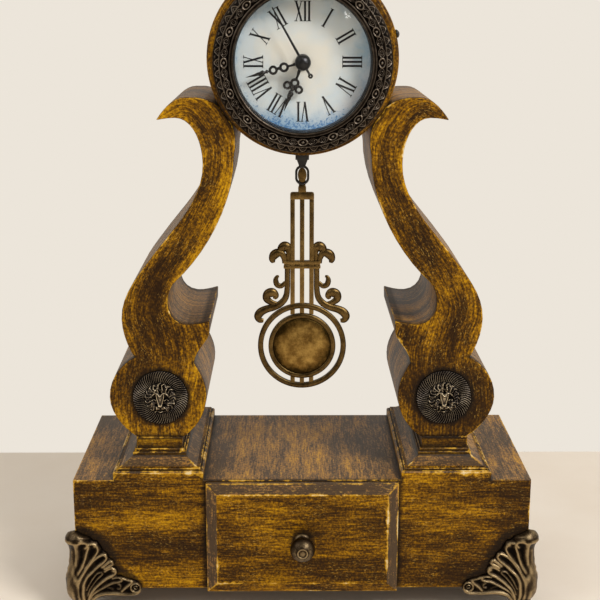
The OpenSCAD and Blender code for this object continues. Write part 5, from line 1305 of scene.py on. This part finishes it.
# The pendulum's cast scrolls on one side, as (distance aside, height over the crossbars, radius)
SCROLLS = [
    [(8.8, 2.5, 1.3), (9.0, 7.5, 1.6), (8.9, 11.0, 2.0), (9.8, 13.4, 3.3), (11.6, 14.2, 3.5),
     (13.6, 12.6, 2.9), (14.2, 10.2, 1.5)],
    [(11.6, 3.0, 1.5), (11.8, 6.4, 1.9), (13.2, 9.2, 2.3), (15.8, 10.0, 3.0), (18.4, 8.6, 3.1),
     (19.5, 5.8, 2.4), (18.9, 3.4, 1.2)],
    [(9.6, 2.0, 1.9), (9.7, -6, 1.85), (9.8, -14, 1.9), (10.8, -20.0, 2.1), (14.0, -24.2, 2.3),
     (18.6, -26.8, 2.4), (23.6, -28.2, 2.6), (27.4, -30.2, 2.9), (29.2, -33.0, 2.8), (28.2, -35.6, 2.1),
     (25.6, -36.2, 1.3)],
    [(11.0, -9.8, 1.2), (13.6, -12.3, 1.7), (16.4, -11.6, 1.9), (17.4, -8.6, 1.8), (16.6, -6.2, 1.2),
     (15.2, -5.8, 0.7)],
    [(16.4, -24.6, 1.3), (20.4, -23.6, 2.0), (23.4, -21.0, 2.6), (22.8, -17.8, 3.0), (19.8, -17.0, 3.3),
     (17.6, -19.0, 2.4), (18.4, -21.2, 1.1)]]


def post(half, low, high, middle=0.0):
    """The outline of an upright bar."""
    return [(middle - half, low), (middle - half, high), (middle + half, high), (middle + half, low)]


def pendulum_frame():
    """The brass frame: three bars, two crossbars, a neck for the hanger, cast scrolls and two rings."""
    y, top, cross = PENDULUM_Y, 278.5, BOB_Z + 53.4
    ring_r, rim_r = 29.5, BOB_R + 4.0
    rim_top, ring_in, rim_low = BOB_Z + rim_r - 0.8, BOB_Z - ring_r + 2.2, BOB_Z - rim_r + 1.6
    plates = [([(-7.8, top - 4.9), (-7.8, top - 1.4), (-7.4, top - 0.4), (-6.4, top), (6.4, top),
                (7.4, top - 0.4), (7.8, top - 1.4), (7.8, top - 4.9)], 1.25)]
    for x in (-6.25, 0.0, 6.25):
        plates += [(post(1.5, rim_top, top - 4.4, x), 1.18), (post(1.5, ring_in, rim_low, x), 1.18)]
    plates.append((post(12, cross + 1, cross + 3.5), 0.7))
    for z in (cross - 0.4, cross + 2.9):
        plates.append((post(12.2, z, z + 2.1), 1.7))
    plates.append(([(-2.5, top - 1.2), (-2.5, top + 3.4), (-1.9, top + 4.4), (1.9, top + 4.4),
                    (2.5, top + 3.4), (2.5, top - 1.2)], 1.0))
    eye_z, eye_w, eye_h = top + 11.1, 2.85, 4.65
    oval = [(eye_w * math.cos(t), eye_z + eye_h * math.sin(t))
            for t in np.linspace(0, 2 * math.pi, 32, endpoint=False)]
    cuts = [("brass_plate_%d" % number, outline, y - half, y + half, BRASS, 0.55)
            for number, (outline, half) in enumerate(plates)]
    cuts += [("brass_plug", oval, y - 1.2, y + 2.0, BRASS, 0.3),
             ("brass_strap", post(2.2, top - 1, eye_z + 3), y + 1.65, y + 2.7, BRASS, 0.2),
             ("brass_neck", post(2.6, top - 1, top + 3.2), y + 0.2, y + 2.65, BRASS, 0.2)]
    parts = [cut_plate(*cut) for cut in cuts]
    parts.append(make("brass_ring", *band_ring(ring_r - 3.6, ring_r, y - 1.9, y + 1.2, BOB_Z), BRASS, 50))
    parts.append(make("brass_rim", *band_ring(BOB_R + 0.7, rim_r, y - 2.3, y + 1.2, BOB_Z), BRASS, 50))
    lines = [[(s * x, cross + z, w) for x, z, w in line] for s in (-1, 1) for line in SCROLLS]
    parts.append(strands("brass_scrolls", lines, BRASS, y, 0.62, 14))
    whole = rub(merged("brass_pendulum", parts), 0.9, 0.26, -0.02)
    for v in whole.data.vertices:
        v.co.y = min(max(v.co.y, (y - 2.9) * MM), (y + 2.7) * MM)
    return whole


def pendulum_bob():
    """The domed brass bob, dark towards its edge."""
    y, bob_r = PENDULUM_Y, BOB_R + 0.9
    face = [(r, y - 1.6 - 2.2 * math.cos(r / bob_r * math.pi / 2) ** 0.7)
            for r in np.linspace(0, bob_r - 0.3, 24)]
    behind = [(r, y + 1.4 + 2.0 * math.cos(r / bob_r * math.pi / 2))
              for r in np.linspace(BOB_R - 0.6, 0, 8)]
    shape, faces = turned(face + [(bob_r, y - 1.3), (bob_r, y + 0.8)] + behind, (0, BOB_Z), 72)
    out = np.array([math.hypot(x, z - BOB_Z) for x, _, z in shape]) / bob_r
    worn = 0.62 - 0.6 * np.clip((out - 0.55) / 0.45, 0, 1) ** 2
    return make("brass_bob", shape, faces, BOB_BRASS, 50, worn)


def knob():
    """The turned drawer knob: a base, a short neck and a ball with a flat ring in front."""
    low, high = span("drawer_knob")
    z, front, r = (low.z + high.z) / 2, low.y, (high.z - low.z) / 2
    back = span("drawer_front")[0].y
    middle = front + r - 1.1
    ball = [(r * math.cos(t), middle + r * 0.86 * math.sin(t)) for t in np.radians(np.arange(48, -66, -6))]
    stem = [(1.9, back), (5.2, back), (5.5, back - 0.5), (5.4, back - 1.3), (4.7, back - 2.0),
            (3.9, back - 2.6), (3.7, back - 3.6)]
    ring = [(3.6, front + 0.55), (3.4, front + 0.1), (2.9, front), (2.6, front + 0.15), (2.4, front + 0.5),
            (2.2, front + 0.55), (1.2, front + 0.3), (0.0, front + 0.22)]
    points, faces = turned(stem + ball + ring + [(0.0, back - 12), (1.9, back - 12)], (0, z), 64)
    return rub(make("turned_knob", points, faces, BRONZE, 40), 0.75, 0.42, 0.2)


body, band = bezel_pieces()
settle(body, "clock", "bronze", "bezel")
settle(band, "clock", "bronze")
for side in ("left", "right"):
    settle(medallion(side), "clock", "bronze", "medallion_" + side)
for node in feet_nodes:
    x_sign, y_sign = (1 if "left" in node else -1), (1 if "front" in node else -1)
    settle(foot(node, x_sign, y_sign), "clock", "bronze", node)
settle(numerals(), "clock", "black_metal")
settle(glass_dome(), "clock", "glass", "glass")
hands()
nut = [(3.2, DRUM_Y + 5.2), (4.6, DRUM_Y + 5.2), (4.8, DRUM_Y + 5.4), (4.8, DRUM_Y + 7), (3.2, DRUM_Y + 7)]
settle(make("dial_nut", *turned(nut, (0, HANDS_Z), 40), BLACK, 40), "clock", "black_metal", "mounting_nut")
settle(eased("pendulum_hanger", "steel_hanger", BLACK, 0.35), "pendulum", "black_metal", "pendulum_hanger")
settle(pendulum_frame(), "pendulum", "brass", "pendulum_frame")
settle(pendulum_bob(), "pendulum", "brass", "pendulum_bob")
settle(knob(), "drawer", "bronze", "drawer_knob")
settle(eased("bezel_side_screw", "side_screw", BLACK, 0.4), "clock", "black_metal", "bezel_side_screw")


def stage():
    """The pale table and the light wall behind it."""
    table, tree, shader = new_material("pale_table")
    place = put(tree, "ShaderNodeTexCoord").outputs["Object"]
    cloud = put(tree, "ShaderNodeTexNoise", {"Vector": place, "Scale": scale_of(166.7), "Detail": 5.0,
                                             "Roughness": 0.6})
    stone = put(tree, "ShaderNodeValToRGB", {"Fac": cloud}, [(0.3, "#e6d8c6"), (0.7, "#eee3d4")])
    tree.links.new(stone.outputs[0], shader.inputs["Base Color"])
    shader.inputs["Roughness"].default_value = 0.55
    far, end = 3000, 242
    floor = make("table_top", [(-far, -far, 0), (far, -far, 0), (far, end, 0), (-far, end, 0)],
                 [(0, 1, 2, 3)], table)
    world = bpy.data.worlds.new("light_room")
    bpy.context.scene.world = world
    world.use_nodes = True
    tree = world.node_tree
    tree.nodes.clear()
    path = put(tree, "ShaderNodeLightPath").outputs
    seen = put(tree, "ShaderNodeMath", {0: path["Is Camera Ray"], 1: path["Is Transmission Ray"]},
               operation="MAXIMUM")
    fill = put(tree, "ShaderNodeBackground", {"Color": "#fffaf2", "Strength": 0.55})
    wall = put(tree, "ShaderNodeBackground", {"Color": "#ece5da", "Strength": 1.0})
    way = put(tree, "ShaderNodeTexCoord").outputs["Generated"]
    side, ahead, up = put(tree, "ShaderNodeSeparateXYZ", {0: way}).outputs
    depth = put(tree, "ShaderNodeMath", {0: ahead, 1: 0.5, 2: 0.5}, operation="MULTIPLY_ADD")
    depth = put(tree, "ShaderNodeMath", {0: side, 1: 0.18, 2: depth}, operation="MULTIPLY_ADD")
    depth = put(tree, "ShaderNodeMath", {0: up, 1: 0.22, 2: depth}, operation="MULTIPLY_ADD")
    room = put(tree, "ShaderNodeValToRGB", {"Fac": depth},
               [(0.1, "#2e2a26"), (0.5, "#8f877c"), (0.9, "#ece5da")])
    reflected = put(tree, "ShaderNodeBackground", {"Color": room, "Strength": 1.0})
    mix = put(tree, "ShaderNodeMixShader", {0: seen, 1: fill, 2: wall})
    mix = put(tree, "ShaderNodeMixShader", {0: path["Is Glossy Ray"], 1: mix, 2: reflected})
    put(tree, "ShaderNodeOutputWorld", {"Surface": mix})


def lamp(name, at, aim, size, power):
    """A soft square lamp that looks at a point."""
    data = bpy.data.lights.new(name, "AREA")
    data.size = size
    data.energy = power
    obj = bpy.data.objects.new(name, data)
    obj.location = at
    obj.rotation_euler = (Vector(aim) - Vector(at)).to_track_quat("-Z", "Y").to_euler()
    bpy.context.scene.collection.objects.link(obj)


def camera():
    """The photograph's view: in front, a little above the dial, and pitched down. Places are in metres."""
    data = bpy.data.cameras.new("photo_view")
    data.lens = 73.77
    data.sensor_width = 36
    data.sensor_fit = "HORIZONTAL"
    obj = bpy.data.objects.new("photo_view", data)
    yaw, pitch, roll = (math.radians(a) for a in (0.48, 14.04, -0.07))
    level = Matrix.Rotation(math.pi / 2 - pitch, 4, "X")
    look = Matrix.Rotation(-yaw, 4, "Z") @ level @ Matrix.Rotation(-roll, 4, "Z")
    obj.matrix_world = Matrix.Translation((-0.00797, -0.80618, 0.4043)) @ look
    bpy.context.scene.collection.objects.link(obj)
    bpy.context.scene.camera = obj


stage()
# Places and sizes in metres, and power in watts
lamp("window", at=(1.1, -1.1, 1.5), aim=(0, 0, 0.22), size=0.6, power=29)
lamp("room", at=(-1.5, -0.8, 1.5), aim=(0, 0, 0.2), size=1.4, power=12)
camera()
bpy.context.scene.view_settings.view_transform = "Standard"
